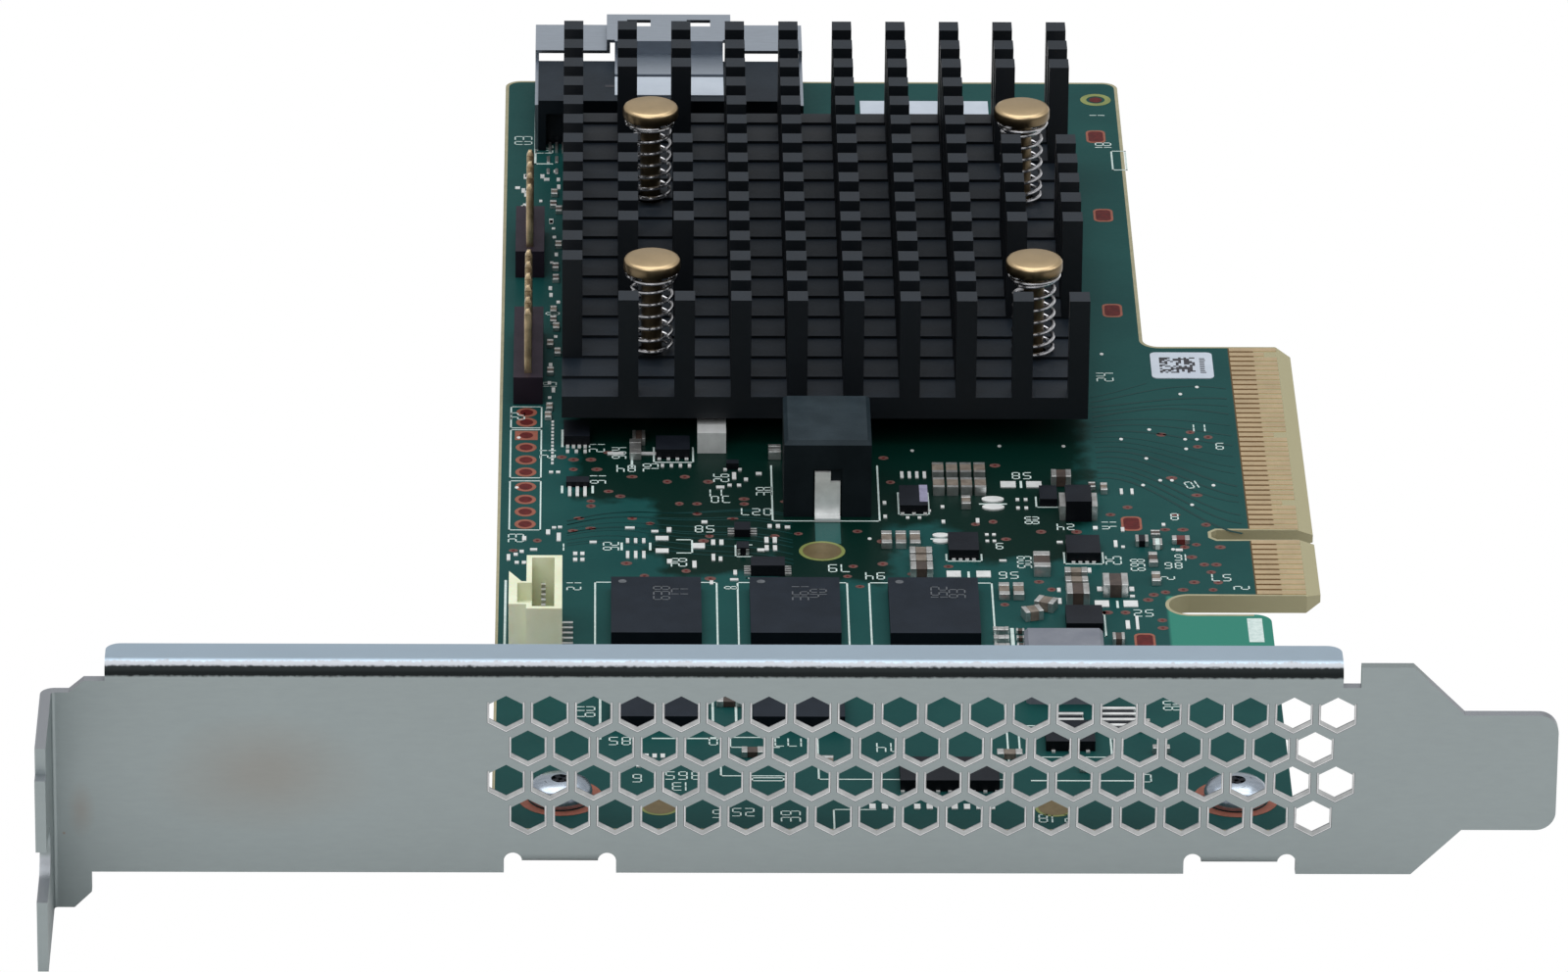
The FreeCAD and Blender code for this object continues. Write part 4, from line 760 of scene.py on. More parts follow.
# The spring pins and their springs, in millimetres.
PIN_HEAD = 4.9
BARB_APART = 1.15
SPRING_STEPS = 26
# The bracket's screws and vents, in millimetres, as the solids have them.
SCREW_RADIUS = 2.6
VENT_ACROSS, VENT_HIGH = 2.83, 3.1
VENT_PITCH, VENT_ROW_PITCH = 3.484, 3.043
VENT_START, VENT_ROW_UP = -67.7, 4.98
VENT_ROWS, VENT_COLUMNS = 4, 20
BRACKET_FACE, BRACKET_BELOW = -58.01, 1.57
HEADERS = {"near_header_posts": 6, "far_header_posts": 4}
POST_HALF = 0.32
# Flat marks on the board, in millimetres above the mask.
MARGIN_THICK = 0.008
MARGIN_EAST = -6.0
TRACE_THICK = 0.012


class CARD_OT_finishes(bpy.types.Operator):
    """Make the finishes and give each carried-over solid its own"""
    bl_idname = "card.finishes"
    bl_label = "Finishes"

    def execute(self, context):
        FINISH.update(make_finishes(context.scene.card_colours))
        for name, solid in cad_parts.items():
            solid.data.materials.clear()
            solid.data.materials.append(FINISH[NODE_FINISH.get(name, "mould")])
        return {"FINISHED"}


def pin_places():
    """Plan places of the four spring pins, from the box that they fill."""
    low, high = corners("spring_pins")
    half = PIN_HEAD / 2
    return [(x, y) for x in (low.x + half, high.x - half) for y in (low.y + half, high.y - half)]


class CARD_OT_spring_pins(bpy.types.Operator):
    """Turned brass pins with a chamfered head and a split barb"""
    bl_idname = "card.spring_pins"
    bl_label = "Spring pins"

    def execute(self, context):
        low, high = corners("spring_pins")
        edge = context.scene.card_sizes.pin_round
        head = PIN_HEAD / 2
        profile = [(0.62, low.z), (0.85, low.z + 0.25), (0.9, -1.63), (0.9, 11.6), (1.15, 11.98),
                   (head - 0.3, 12.0), (head - 0.06, 12.1), (head, 12.25), (head, high.z - edge),
                   (head - edge * 0.35, high.z - edge * 0.4), (head - edge, high.z - 0.03),
                   (head - edge * 1.3, high.z), (0.3, high.z)]
        shape = Shape()
        for x, y in pin_places():
            shape.turned(x, y, profile)
            for side in (-BARB_APART, BARB_APART):
                shape.patch(x + side, y, 0.7, 1.4, -1.75, -2.25)
        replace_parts(shape.piece("brass_spring_pins", "brass", "brass", smooth=True), "spring_pins")
        return {"FINISHED"}


def spring_path(x, y, start, sizes):
    """The middle of a spring's wire: closed turns at both ends and a wider last turn."""
    low, high = corners("heatsink_springs")
    wire, turns = sizes.spring_wire / 2, sizes.spring_turns
    points = []
    for k in range(int(turns * SPRING_STEPS) + 1):
        turn = k / SPRING_STEPS
        share = min(max((turn - 0.8) / (turns - 1.9), 0), 1)
        ends = 0.42 * min(turn, 0.8) / 0.8 + 0.3 * max(turn - turns + 1.1, 0) / 1.1
        z = low.z + wire + ends + share * (high.z - low.z - 2 * wire - 0.72)
        angle = start + 2 * math.pi * turn
        reach = sizes.spring_reach + 0.42 * min(max(turn - turns + 1.4, 0), 1)
        points.append((x + reach * math.cos(angle), y + reach * math.sin(angle), z))
    return points


class CARD_OT_springs(bpy.types.Operator):
    """Round-wire coil springs with closed ends"""
    bl_idname = "card.springs"
    bl_label = "Springs"

    def execute(self, context):
        sizes = context.scene.card_sizes
        shape = Shape()
        for place, (x, y) in enumerate(pin_places()):
            shape.tube(spring_path(x, y, 0.6 + 1.3 * place, sizes), sizes.spring_wire / 2)
        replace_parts(shape.piece("coil_springs", "spring", "spring_steel", smooth=True), "heatsink_springs")
        return {"FINISHED"}


class CARD_OT_screws(bpy.types.Operator):
    """Pan-head screws with a cross recess darkened by a cross of painted shade, and the plated rings round
    them
    """
    bl_idname = "card.screws"
    bl_label = "Bracket screws"

    def execute(self, context):
        low, high = corners("bracket_screws")
        y = (low.y + high.y) / 2
        profile = [(0.9, low.z), (1.33, low.z + 0.4), (1.33, 0.02), (2.55, 0.02), (SCREW_RADIUS, 0.15),
                   (2.58, 0.7), (2.4, 1.15), (2.0, 1.45), (1.45, 1.62), (0.75, high.z), (0.7, 1.0),
                   (0.2, 0.75)]
        heads, arms, rings = Shape(), Shape(), Shape()
        for x in (low.x + SCREW_RADIUS, high.x - SCREW_RADIUS):
            heads.turned(x, y, profile)
            rings.ring(x, y, 0.03, 5.3, 6.9, 40)
            # A dark cross of painted shade stands in for the shade inside the recess.
            for turn in (0.4, 0.4 + math.pi / 2):
                arms.patch(x, y, 2.7, 0.44, 1.64, 1.3, turn)
        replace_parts(heads.piece("pan_head_screws", "screw", "screw_steel", smooth=True), "bracket_screws")
        arms.piece("screw_recess_shade", "mould", "screw_steel", 0.05)
        rings.piece("screw_pads", "pad ring", "gold")
        return {"FINISHED"}


class CARD_OT_posts(bpy.types.Operator):
    """Square gold posts with rounded tips"""
    bl_idname = "card.posts"
    bl_label = "Header posts"

    def execute(self, context):
        tip = context.scene.card_sizes.post_tip
        for node, count in HEADERS.items():
            low, high = corners(node)
            x = (low.x + high.x) / 2
            shape = Shape()
            for i in range(count):
                y = low.y + POST_HALF + i * (high.y - low.y - 2 * POST_HALF) / (count - 1)
                base = rectangle(x - POST_HALF, y - POST_HALF, x + POST_HALF, y + POST_HALF)
                small = [(x + (u - x) * 0.45, y + (v - y) * 0.45) for u, v in base]
                shape.patch(x, y, 2 * POST_HALF, 2 * POST_HALF, high.z - tip, low.z + tip)
                for wide, narrow in ((high.z - tip, high.z), (low.z + tip, low.z)):
                    shape.loft([shape.level(base, wide), shape.level(small, narrow)])
            posts = shape.piece(node.replace("_posts", "_gold_posts"), "post gold", "gold", 0.06, smooth=True)
            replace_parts(posts, node)
        return {"FINISHED"}


def vent_places():
    """Middles of the vents, seen from the front."""
    bottom = corners("circuit_board")[0].z - BRACKET_BELOW
    for row in range(VENT_ROWS):
        shift = 1 - row % 2
        for column in range(VENT_COLUMNS - shift):
            yield (VENT_START + (column + shift / 2) * VENT_PITCH,
                   bottom + VENT_ROW_UP + row * VENT_ROW_PITCH)


class CARD_OT_vent_rims(bpy.types.Operator):
    """Painted highlights along the lower sides of every vent, a bright band and a brighter glint where the
    cut edges catch the light, with a thin painted shadow line round them
    """
    bl_idname = "card.vent_rims"
    bl_label = "Vent rims"

    def execute(self, context):
        width = context.scene.card_sizes.rim_width
        # Outlines of the painted highlight band, its glint and the painted shadow line, in shares of a vent's
        # half size.
        edge = [(-1, 0.62), (-1, -0.5), (0, -1), (1, -0.5), (1, 0.62)]
        lip = [(-0.94, 0.62), (-0.94, -0.5 + width), (0, -1 + width * 1.2), (0.94, -0.5 + width),
               (0.94, 0.62)]
        glint, shade = ([(u * grow, v * grow) for u, v in edge] for grow in (1.035, 1.07))
        bands = (("rim", edge + lip[::-1], 0.02), ("rim glint", glint + edge[::-1], 0.03),
                 ("rim line", shade + glint[::-1], 0.01))
        parts = Parts()
        for x, z in vent_places():
            for finish, band, proud in bands:
                shape = parts[finish]
                path = [(x + u * VENT_ACROSS / 2, z + v * VENT_HIGH / 2) for u, v in band]
                front, back = (shape.points([(u, y, v) for u, v in path])
                               for y in (BRACKET_FACE - proud, BRACKET_FACE + 0.03))
                shape.strip(front, back)
        parts.pieces("vent")
        return {"FINISHED"}


class CARD_OT_board_margin(bpy.types.Operator):
    """The strip of bare laminate that the solder mask leaves along the board's outline"""
    bl_idname = "card.board_margin"
    bl_label = "Board margin"

    def execute(self, context):
        width = context.scene.card_sizes.mask_margin
        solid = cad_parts["circuit_board"]
        mesh = bmesh.new()
        mesh.from_mesh(solid.data)
        mesh.transform(solid.matrix_world)
        bmesh.ops.remove_doubles(mesh, verts=mesh.verts, dist=1e-6)
        tops = {f for f in mesh.faces if f.normal.z > FLAT_NORMAL and f.calc_center_median().z > -0.2 * MM}
        rim = [loop for face in tops for loop in face.loops
               if not any(other in tops for other in loop.edge.link_faces if other is not face)]
        ends = [(loop.vert, loop.link_loop_next.vert) for loop in rim]
        lean = {}
        for first, second in ends:
            ahead = second.co - first.co
            side = Vector((-ahead.y, ahead.x, 0)).normalized()
            for vert in (first, second):
                lean[vert] = lean.get(vert, Vector((0, 0, 0))) + side
        shape = Shape()
        for pair in ends:
            if all(vert.co.x / MM > MARGIN_EAST for vert in pair):
                continue
            outer = [vert.co / MM for vert in pair]
            inner = [vert.co / MM + lean[vert].normalized() * width for vert in reversed(pair)]
            shape.prism([(v.x, v.y) for v in outer + inner], 0.0, MARGIN_THICK)
        mesh.free()
        shape.piece("mask_margin", "margin", "board")
        return {"FINISHED"}


def contact_fan(shape, draw):
    """Lines that spread from the contacts to the controller."""
    for i in range(17):
        near, far = 0.3 + 2.0 * i + draw.uniform(-0.5, 0.5), 11.5 + 1.05 * i
        sway = draw.uniform(0.5, 1.5)
        points = []
        for t in (k / 12 for k in range(13)):
            ease = t * t * (3 - 2 * t)
            points.append((-6.0 - 11.8 * t, near + (far - near) * ease + sway * math.sin(math.pi * t)))
        points = [p for p in points if p[1] < 31.5 or p[0] < -12.8]
        if len(points) > 2:
            shape.ribbon(points, draw.uniform(0.12, 0.3), TRACE_THICK)


def left_bundle(shape, draw):
    """Side by side lines that wind near the left edge."""
    for i in range(11):
        sway = draw.uniform(-0.4, 0.4)
        points = [(-63.0 + 19.0 * t,
                   2.6 - 0.72 * i + sway + 2.4 * math.sin(2.6 * t + 0.12 * i) + 0.5 * math.sin(9.0 * t))
                  for t in (k / 18 for k in range(19))]
        shape.ribbon(points, 0.14, TRACE_THICK)


class CARD_OT_traces(bpy.types.Operator):
    """Faint copper lines under the mask: a fan from the contacts and a bundle near the left edge"""
    bl_idname = "card.traces"
    bl_label = "Traces"

    def execute(self, context):
        shape = Shape()
        draw = random.Random(11)
        contact_fan(shape, draw)
        left_bundle(shape, draw)
        shape.piece("mask_traces", "trace", "board")
        return {"FINISHED"}


# What is printed, plated and soldered on the component side, in the board's millimetres: places listed and
# rounded.
HEADER_PADS = ((20, 17.5, 14.9, 12.4), (9.4, 6.8, 4.3, 1.8), (24.8, 22.75))
VIAS = (
    (-63.5, 15.5), (-62.5, 15), (-61, 15), (-62.5, 13), (-60.5, 13), (-59.5, 16.5), (-59.5, 8.5),
    (-58.5, 7.5), (-61, 6.5), (-61, 5.5), (-62, 3), (-61, 1), (-62.5, 0.5), (-65.5, -1.5), (-67.5, -3.5),
    (-58, -6), (-58.5, -9.5), (-53, 11.5), (-54.5, 10.5), (-51, 10.5), (-57.5, 11.5), (-57.5, 3), (-56, 2),
    (-52, 4), (-53.5, 6), (-52, 6), (-48, 7), (-48, 6), (-44.5, 6.5), (-49, 3), (-51.5, -1.5), (-51, -0.5),
    (-45.5, -0.5), (-43.5, 0), (-56.5, -8.5), (-53, -7.5), (-51, -9), (-38.5, 0.5), (-36, 15.5),
    (-35.5, 10.5), (-26.5, 14), (-27, 2.5), (-28.5, 2), (-29, 9), (-36.5, -1.5), (-26, -1), (-39, -6.5),
    (-39.5, -8.5), (-36.5, -6), (-38.5, -10.5), (-34, -8), (-31, -6.5), (-23, 0.5), (-23.5, -9.5),
    (-22.5, -11), (-26.5, -14), (-18.5, -15.5), (-20, 0.5), (-12, 20.5), (-9.5, 21), (-8, 20), (-9, 18),
    (-11.5, 11.5), (-9.5, 8), (-15.5, 5.5), (-17, 4), (-11.5, 4), (-9, 2), (-11, 1), (-12.5, 1), (-10, -2),
    (-8, -2.5), (-11, -2.5), (-10.5, -4.5), (-8.5, -6), (-9.5, -6), (-9, -7.5), (-10.5, -9.5), (-8.5, -9.5),
    (-11.5, -11), (-9, -11), (-13, -11.5), (-14, -12), (-14.5, -13), (-13.5, -17), (-13.5, -18.5),
    (-16.5, -15.5), (-18, -15.5))
TEST_POINTS = (
    (-16.5, 37.5), (-13, 21.5), (-15.5, 19.5), (-13.5, 15.5), (-14, 10), (-12.5, 11), (-11.5, 11),
    (-10, 17.5), (-8.5, 30.5), (-10, 29), (-10, 6), (-8, 10), (-12, -3), (-10, 19.5), (-9, 19.5),
    (-33.5, 17), (-26, 18), (-20.5, 18), (-37.5, -1), (-67.2, 19.5), (-67.3, 9.2))
RED_PADS = ((-15.2, 86.3), (-15.2, 68.2), (-15.2, 47), (-15.3, 2.2), (-15.1, -21))
ROUND_PADS = ((-41.55, -3.47, 3.9), (-55.4, -52.4, 3.2), (-23.65, -52.5, 3.2))
TOOLING_HOLE = (-14.9, 94.95)
HEADER_X = -66.55
# Heights above the board of the rims of pads, the pads and flat solder spots.
RIM_HIGH, PAD_HIGH, SPOT_HIGH = 0.014, 0.02, 0.1


def pad(parts, x, y, across, along):
    """A masked pad with round corners and its lighter rim."""
    parts["pad ring"].prism(rounded(x, y, across, along, 0.55), 0.0, RIM_HIGH)
    parts["red pad"].prism(rounded(x, y, across - 0.4, along - 0.55, 0.4), 0.0, PAD_HIGH)


def header_pads(parts):
    """Pads of the posts at the left edge, the first one square, in a printed frame for each block."""
    for block in HEADER_PADS:
        for y in block:
            if y == HEADER_PADS[0][0]:
                parts["pad ring"].patch(HEADER_X, y, 1.95, 1.9, RIM_HIGH)
            else:
                parts["pad ring"].disc(HEADER_X, y, 0.0, RIM_HIGH, 1.8, 1.9, 24)
            parts["red pad"].disc(HEADER_X, y, 0.0, PAD_HIGH, 1.15, 1.25, 20)
        parts["print"].frame(-67.95, min(block) - 1.25, -65.2, max(block) + 1.25, 0.13, 0.02)


class CARD_OT_plating(bpy.types.Operator):
    """Vias, header pads, test points, round pads and the tooling hole"""
    bl_idname = "card.plating"
    bl_label = "Vias and pads"

    def execute(self, context):
        parts = Parts()
        draw = random.Random(5)
        for x, y in VIAS:
            parts["via"].disc(x, y, 0.0, 0.012, draw.uniform(0.75, 1.0), draw.uniform(0.6, 0.85), 12)
            parts["red pad"].disc(x, y, 0.0, 0.016, 0.3, sides=8)
        for x, y in TEST_POINTS:
            parts["white tin"].disc(x, y, 0.0, 0.04, 0.34, 0.5, 8)
        for x, y in RED_PADS:
            pad(parts, x, y, 1.75, 2.9)
        header_pads(parts)
        for x, y, wide in ROUND_PADS:
            parts["ring"].ring(x, y, PAD_HIGH, wide * 0.84, wide)
            parts["round pad"].disc(x, y, 0.0, 0.03, wide * 0.84, sides=32)
        x, y = TOOLING_HOLE
        parts["ring"].ring(x, y, PAD_HIGH, 1.7, 2.8, 28)
        parts["red pad"].disc(x, y, 0.0, PAD_HIGH, 1.2)
        # A lighter strip of painted sheen on the board along the choke's straps.
        low, high = corners("choke_straps")
        parts["board shine"].patch((low.x + high.x) / 2, 0.1, high.x - low.x, 4.2, 0.01)
        parts.pieces("plating")
        return {"FINISHED"}


# Chip parts by body finish and whether their caps are left and right: x, y, size across, size along, height.
CHIPS = (
    ("tan", False, (
        (-29.2, 5.8, 0.8, 1.7, 0.6), (-36.1, -1.8, 0.9, 2.5, 0.6), (-34.9, -1.8, 0.9, 2.5, 0.6),
        (-33.7, -1.8, 0.9, 2.5, 0.6), (-26.5, -12, 0.9, 2.4, 0.6), (-25.3, -12, 0.9, 2.4, 0.6),
        (-13.7, -9.3, 0.75, 1.9, 0.5), (-17.4, 8.8, 0.6, 1.5, 0.5))),
    ("brown", False, (
        (-13.8, -5.5, 0.75, 2.1, 0.5), (-18.4, 9.4, 0.6, 1, 0.4), (-13.4, -0.5, 0.8, 0.9, 0.5),
        (-23.2, -7, 1.4, 3.1, 1))),
    ("mould", True, ((-14.6, -1.9, 1.1, 1.3, 0.6), (-48.2, -3.6, 1, 1.6, 0.6))),
    ("print", True, ((-13.3, -2.4, 0.8, 1.3, 0.5),)),
    ("red body", True, ((-11.3, -1.6, 1.5, 0.9, 0.5),)),
    ("tan", True, (
        (-33.3, -5.2, 1.9, 1.2, 1), (-33.3, -6.7, 1.9, 1.2, 1), (-20.4, -8.9, 1.9, 1, 0.9),
        (-20.4, -10.7, 1.9, 1, 0.9))),
    ("brown", True, (
        (-33.3, -8.3, 1.9, 1.5, 1), (-20.4, -13.2, 1.9, 2.1, 1.2), (-17.2, -11.4, 2.1, 2.4, 1.2),
        (-21, 10.4, 1.7, 1.5, 1), (-56.9, 18.8, 1.1, 1.8, 0.7), (-25.4, -19.6, 0.7, 0.5, 0.4),
        (-25.4, -21, 0.7, 0.5, 0.4), (-25.4, -22.4, 0.7, 0.5, 0.4), (-17.3, -21.4, 1, 1.3, 0.7))),
    ("tin", False, ((-45.3, 15.8, 1.1, 1.6, 0.8), (-57.2, 16.4, 1, 3, 0.7))),
    ("tin", True, ((-27, -19.6, 1.3, 0.7, 0.5), (-27, -21.2, 1.3, 0.7, 0.5), (-27, -22.8, 1.3, 0.7, 0.5))))
# Turned tan chips: x, y, size across, size along, height, turn in degrees.
TURNED_CHIPS = ((-24.3, -16.6, 1.6, 1.3, 0.9, 18), (-23.1, -14.8, 1.7, 1.3, 0.9, -22))
# Solder spots: x, y, size across, size along.
SPOTS = (
    (-25.5, 10, 1.3, 1.2), (-23.3, 10, 1.3, 1.2), (-30.6, -8.1, 1.2, 1.2), (-28.1, -8.1, 1.2, 1.2),
    (-18.4, -13.9, 1.2, 1.2), (-16, -13.9, 1.2, 1.2), (-58.9, 16.2, 1.4, 0.5), (-56.1, 16.2, 1.4, 0.5),
    (-55, -1.1, 1.1, 0.8), (-55, -3.6, 1.1, 0.8), (-51.9, -2.6, 1, 1), (-50, 9.3, 0.7, 0.5),
    (-46.7, 12.1, 0.5, 0.5), (-48.8, 11.6, 0.35, 1.4), (-47.8, 10.9, 0.35, 0.6), (-49.2, 9.7, 0.35, 0.5),
    (-48.4, 9.7, 0.35, 0.5), (-63.8, 12.3, 0.35, 0.4), (-64.4, 12.3, 0.35, 0.4), (-64.6, 0.1, 0.35, 0.9),
    (-64.1, 1, 0.35, 0.4), (-63.6, 1.1, 0.35, 0.4), (-63.7, -0.9, 0.35, 1.6), (-66.6, -1.2, 0.35, 0.8),
    (-67.9, -5, 0.3, 1.2), (-67.3, -4.4, 0.35, 0.5), (-66.8, -3.8, 0.35, 0.5), (-67.2, -6, 0.35, 0.5),
    (-66.6, -6, 0.35, 0.5), (-65.8, -3.4, 0.6, 0.4), (-60.8, -1.9, 0.6, 0.4), (-62.3, -4.2, 0.35, 0.6),
    (-61.7, -4.2, 0.35, 0.6), (-62.3, -5.4, 0.35, 0.6), (-61.7, -5.4, 0.35, 0.6), (-51.4, 2.2, 0.5, 0.5),
    (-46.2, -1.4, 0.35, 1.1), (-45.5, -1.4, 0.35, 1.1), (-46.2, -3, 0.35, 1), (-45.5, -3, 0.35, 1),
    (-45.9, 1.4, 0.35, 0.7), (-45.2, 1.4, 0.35, 0.7), (-44.4, 1.2, 0.45, 0.5), (-50.7, -1.9, 0.35, 1),
    (-50, -1.9, 0.35, 1), (-50.7, -4.9, 0.3, 1.3), (-50.1, -5.2, 0.3, 0.8), (-46.7, -3.4, 0.6, 0.5),
    (-52.3, -6.3, 0.35, 1.3), (-54.4, 0.6, 0.4, 0.9), (-54.4, -5.7, 0.4, 0.8), (-57.7, 1, 0.8, 0.4),
    (-55.6, 0.3, 0.6, 0.4), (-48.9, -7.9, 0.3, 0.9), (-50.9, -9.9, 0.3, 0.7), (-49, -9.3, 0.7, 0.4),
    (-24.8, 6.9, 0.3, 0.5), (-24.1, 6.9, 0.3, 0.5), (-24.8, 5.2, 0.3, 0.5), (-24.1, 5.2, 0.3, 0.5),
    (-31.2, 5.4, 0.3, 0.5), (-32.4, 4.6, 0.4, 0.4), (-28.3, 2.6, 0.3, 0.9), (-31.2, 2.4, 0.3, 0.6),
    (-36.1, 6.2, 0.3, 0.6), (-36.1, 3.4, 0.3, 0.6), (-34.2, 3.2, 0.3, 0.4), (-33.2, 3.2, 0.3, 0.4),
    (-27.6, -0.2, 0.3, 0.4), (-27, -0.2, 0.3, 0.4), (-27.6, -1.5, 0.3, 0.4), (-27, -1.5, 0.3, 0.4),
    (-26.4, -5.4, 0.6, 0.3), (-21.5, -1.7, 0.5, 0.4), (-18.4, 1.2, 0.4, 0.6), (-16.1, 0.9, 0.3, 0.8),
    (-16.8, -2, 0.3, 1.3), (-16.2, -2.6, 0.3, 0.4), (-19.2, -7.3, 0.3, 0.9), (-21.9, -11.2, 0.3, 0.7),
    (-21.9, -13.4, 0.3, 1.1), (-18.5, -11, 0.4, 0.8), (-15.8, -11, 0.4, 0.8), (-15.8, -12.4, 0.4, 0.4),
    (-15.9, 8.6, 0.25, 1.1), (-15, 8.6, 0.25, 1.1), (-12.6, 1.9, 0.3, 0.5), (-11.5, -3.2, 0.6, 0.4),
    (-16.4, -18, 0.35, 1.6), (-15.6, -17.6, 0.25, 2.6), (-19.3, -20.8, 0.3, 0.3), (-17, -23.2, 0.3, 0.8))
# Solder balls in rows under the near edge of leadless parts: node, count, share of the width that they span.
FEET = (("sense_amplifier", 4, 0.66), ("voltage_supervisor", 4, 0.6), ("flash_memory", 4, 0.8),
        ("power_switch", 3, 0.8), ("small_transistor", 2, 1.2), ("backup_switch", 9, 0.95),
        ("voltage_monitor", 3, 0.7))
# Rows of solder spots: count, x of the first, y, step, size along.
SPOT_ROWS = (
    (4, -34.5, 11.9, 0.64, 1.3), (3, -62.8, 8.5, 0.65, 2.2), (4, -63, 17.7, 0.5, 0.8),
    (3, -63, 16.6, 0.75, 0.6), (4, -54.9, 13.7, 0.77, 0.6), (3, -57.9, -1.6, 0.68, 0.9),
    (3, -57.9, -4.4, 0.68, 1.4), (3, -47.6, -7.6, 1.4, 0.2))
# Ribbed arrays near the bracket: x, width, ribs.
ARRAYS = ((-21.8, 2.1, 3), (-17.9, 2.9, 4))
# Pairs of half-round lands with a printed bar between: x, y, width.
LANDS = ((-26.9, 6.1, 1.9), (-31.5, -1, 1.4))
REAR = ("memory_chip_4", "memory_chip_5", "backup_switch", "voltage_monitor", "flat_inductor", "power_socket",
        "bracket_screws")
TWO_BODIES = ("tan", "brown")


def solder_feet(parts):
    """Solder balls under the near edge of leadless parts."""
    for node, count, share in FEET:
        low, high = corners(node)
        middle, span = (low.x + high.x) / 2, (high.x - low.x) * share
        for k in range(count):
            x = middle + span * (k / (count - 1) - 0.5)
            parts["white tin"].box(x - 0.15, low.y - 0.34, x + 0.15, low.y + 0.06, 0, 0.14)


def solder_rows(parts):
    """Rows and one column of alike spots, and the round lands."""
    tin = parts["white tin"]
    for count, x, y, step, along in SPOT_ROWS:
        for k in range(count):
            tin.patch(x + k * step, y, 0.28, along, SPOT_HIGH)
    for k in range(13):
        tin.patch(-64.3, 14.2 + 0.72 * k, 0.22, 0.4, 0.05)
    for x, y, wide in LANDS:
        for side in (-1, 1):
            tin.disc(x, y + side * wide * 0.42, 0.0, 0.14, wide, wide * 0.6, 16)
        parts["print"].patch(x, y, wide * 1.25, 0.2, 0.02)


def beside_headers(parts):
    """Small parts and marks beside the header rows."""
    tin = parts["white tin"]
    draw = random.Random(31)
    for k in range(30):
        x, y = draw.uniform(-64.7, -63.9), 24.0 + 1.85 * k + draw.uniform(-0.4, 0.4)
        if draw.random() < 0.4:
            parts.chip(x, y, 0.6, 1.2, 0.4, draw.choice(TWO_BODIES))
        else:
            tin.patch(x, y, 0.3, draw.uniform(0.4, 1.0), 0.06)
    for k in range(16):
        x, y = draw.uniform(-67.8, -64.4), draw.uniform(66.0, 78.0)
        tin.patch(x, y, draw.uniform(0.25, 0.5), draw.uniform(0.4, 1.1), 0.06)


def behind_bracket(parts):
    """Ribbed arrays, solder feet and parts seen only through the vents and past the bracket."""
    tin = parts["white tin"]
    for x, wide, ribs in ARRAYS:
        for k in range(ribs):
            tin.patch(x, -37.6 + 1.05 * k, wide, 0.4, 0.3)
        parts["mould"].patch(x, -37.6 + 0.52 * (ribs - 1), wide * 0.9, 1.05 * ribs, 0.2)
    for k in range(10):
        tin.patch(-38.3 + 1.0 * k + (0.6 if k > 2 else 0.0), -52.4, 0.5, 0.9, SPOT_HIGH)
    for k in range(4):
        for y in (-43.2, -44.9):
            tin.patch(-57.1 + 0.66 * k, y, 0.36, 0.7, 0.12)
    taken = [corners(node) for node in REAR]
    draw = random.Random(23)
    for k in range(34):
        x, y = draw.uniform(-60.0, -12.0), draw.uniform(-55.5, -25.5)
        if any(low.x - 1.6 < x < high.x + 1.6 and low.y - 1.8 < y < high.y + 1.8 for low, high in taken):
            continue
        parts.chip(x, y, draw.uniform(0.7, 1.1), draw.uniform(1.4, 2.2), 0.55, draw.choice(TWO_BODIES),
                   draw.choice((0, math.pi / 2)))


def contact_tails(parts):
    """Contact tails in two rows at the drive port's near side."""
    low = corners("port_tails")[0]
    for k in range(7):
        for back, along in ((1.7, 1.5), (4.4, 1.2)):
            parts["tin"].patch(low.x + 0.75 * k, low.y - back, 0.3, along, 0.12)


class CARD_OT_small_parts(bpy.types.Operator):
    """Chip capacitors and resistors, solder spots and the feet of leadless parts"""
    bl_idname = "card.small_parts"
    bl_label = "Small parts"

    def execute(self, context):
        parts = Parts()
        for body, sideways, rows in CHIPS:
            for row in rows:
                parts.chip(*row, body, 0.0, sideways)
        for *row, turn in TURNED_CHIPS:
            parts.chip(*row, "tan", math.radians(turn), True)
        for row in SPOTS:
            parts["white tin"].patch(*row, SPOT_HIGH)
        solder_feet(parts)
        solder_rows(parts)
        beside_headers(parts)
        behind_bracket(parts)
        contact_tails(parts)
        low, high = corners("power_switch")
        parts["lilac"].box(high.x - 0.7, low.y + 0.7, high.x, high.y, 0.6, high.z + 0.03)
        parts.pieces("small")
        return {"FINISHED"}


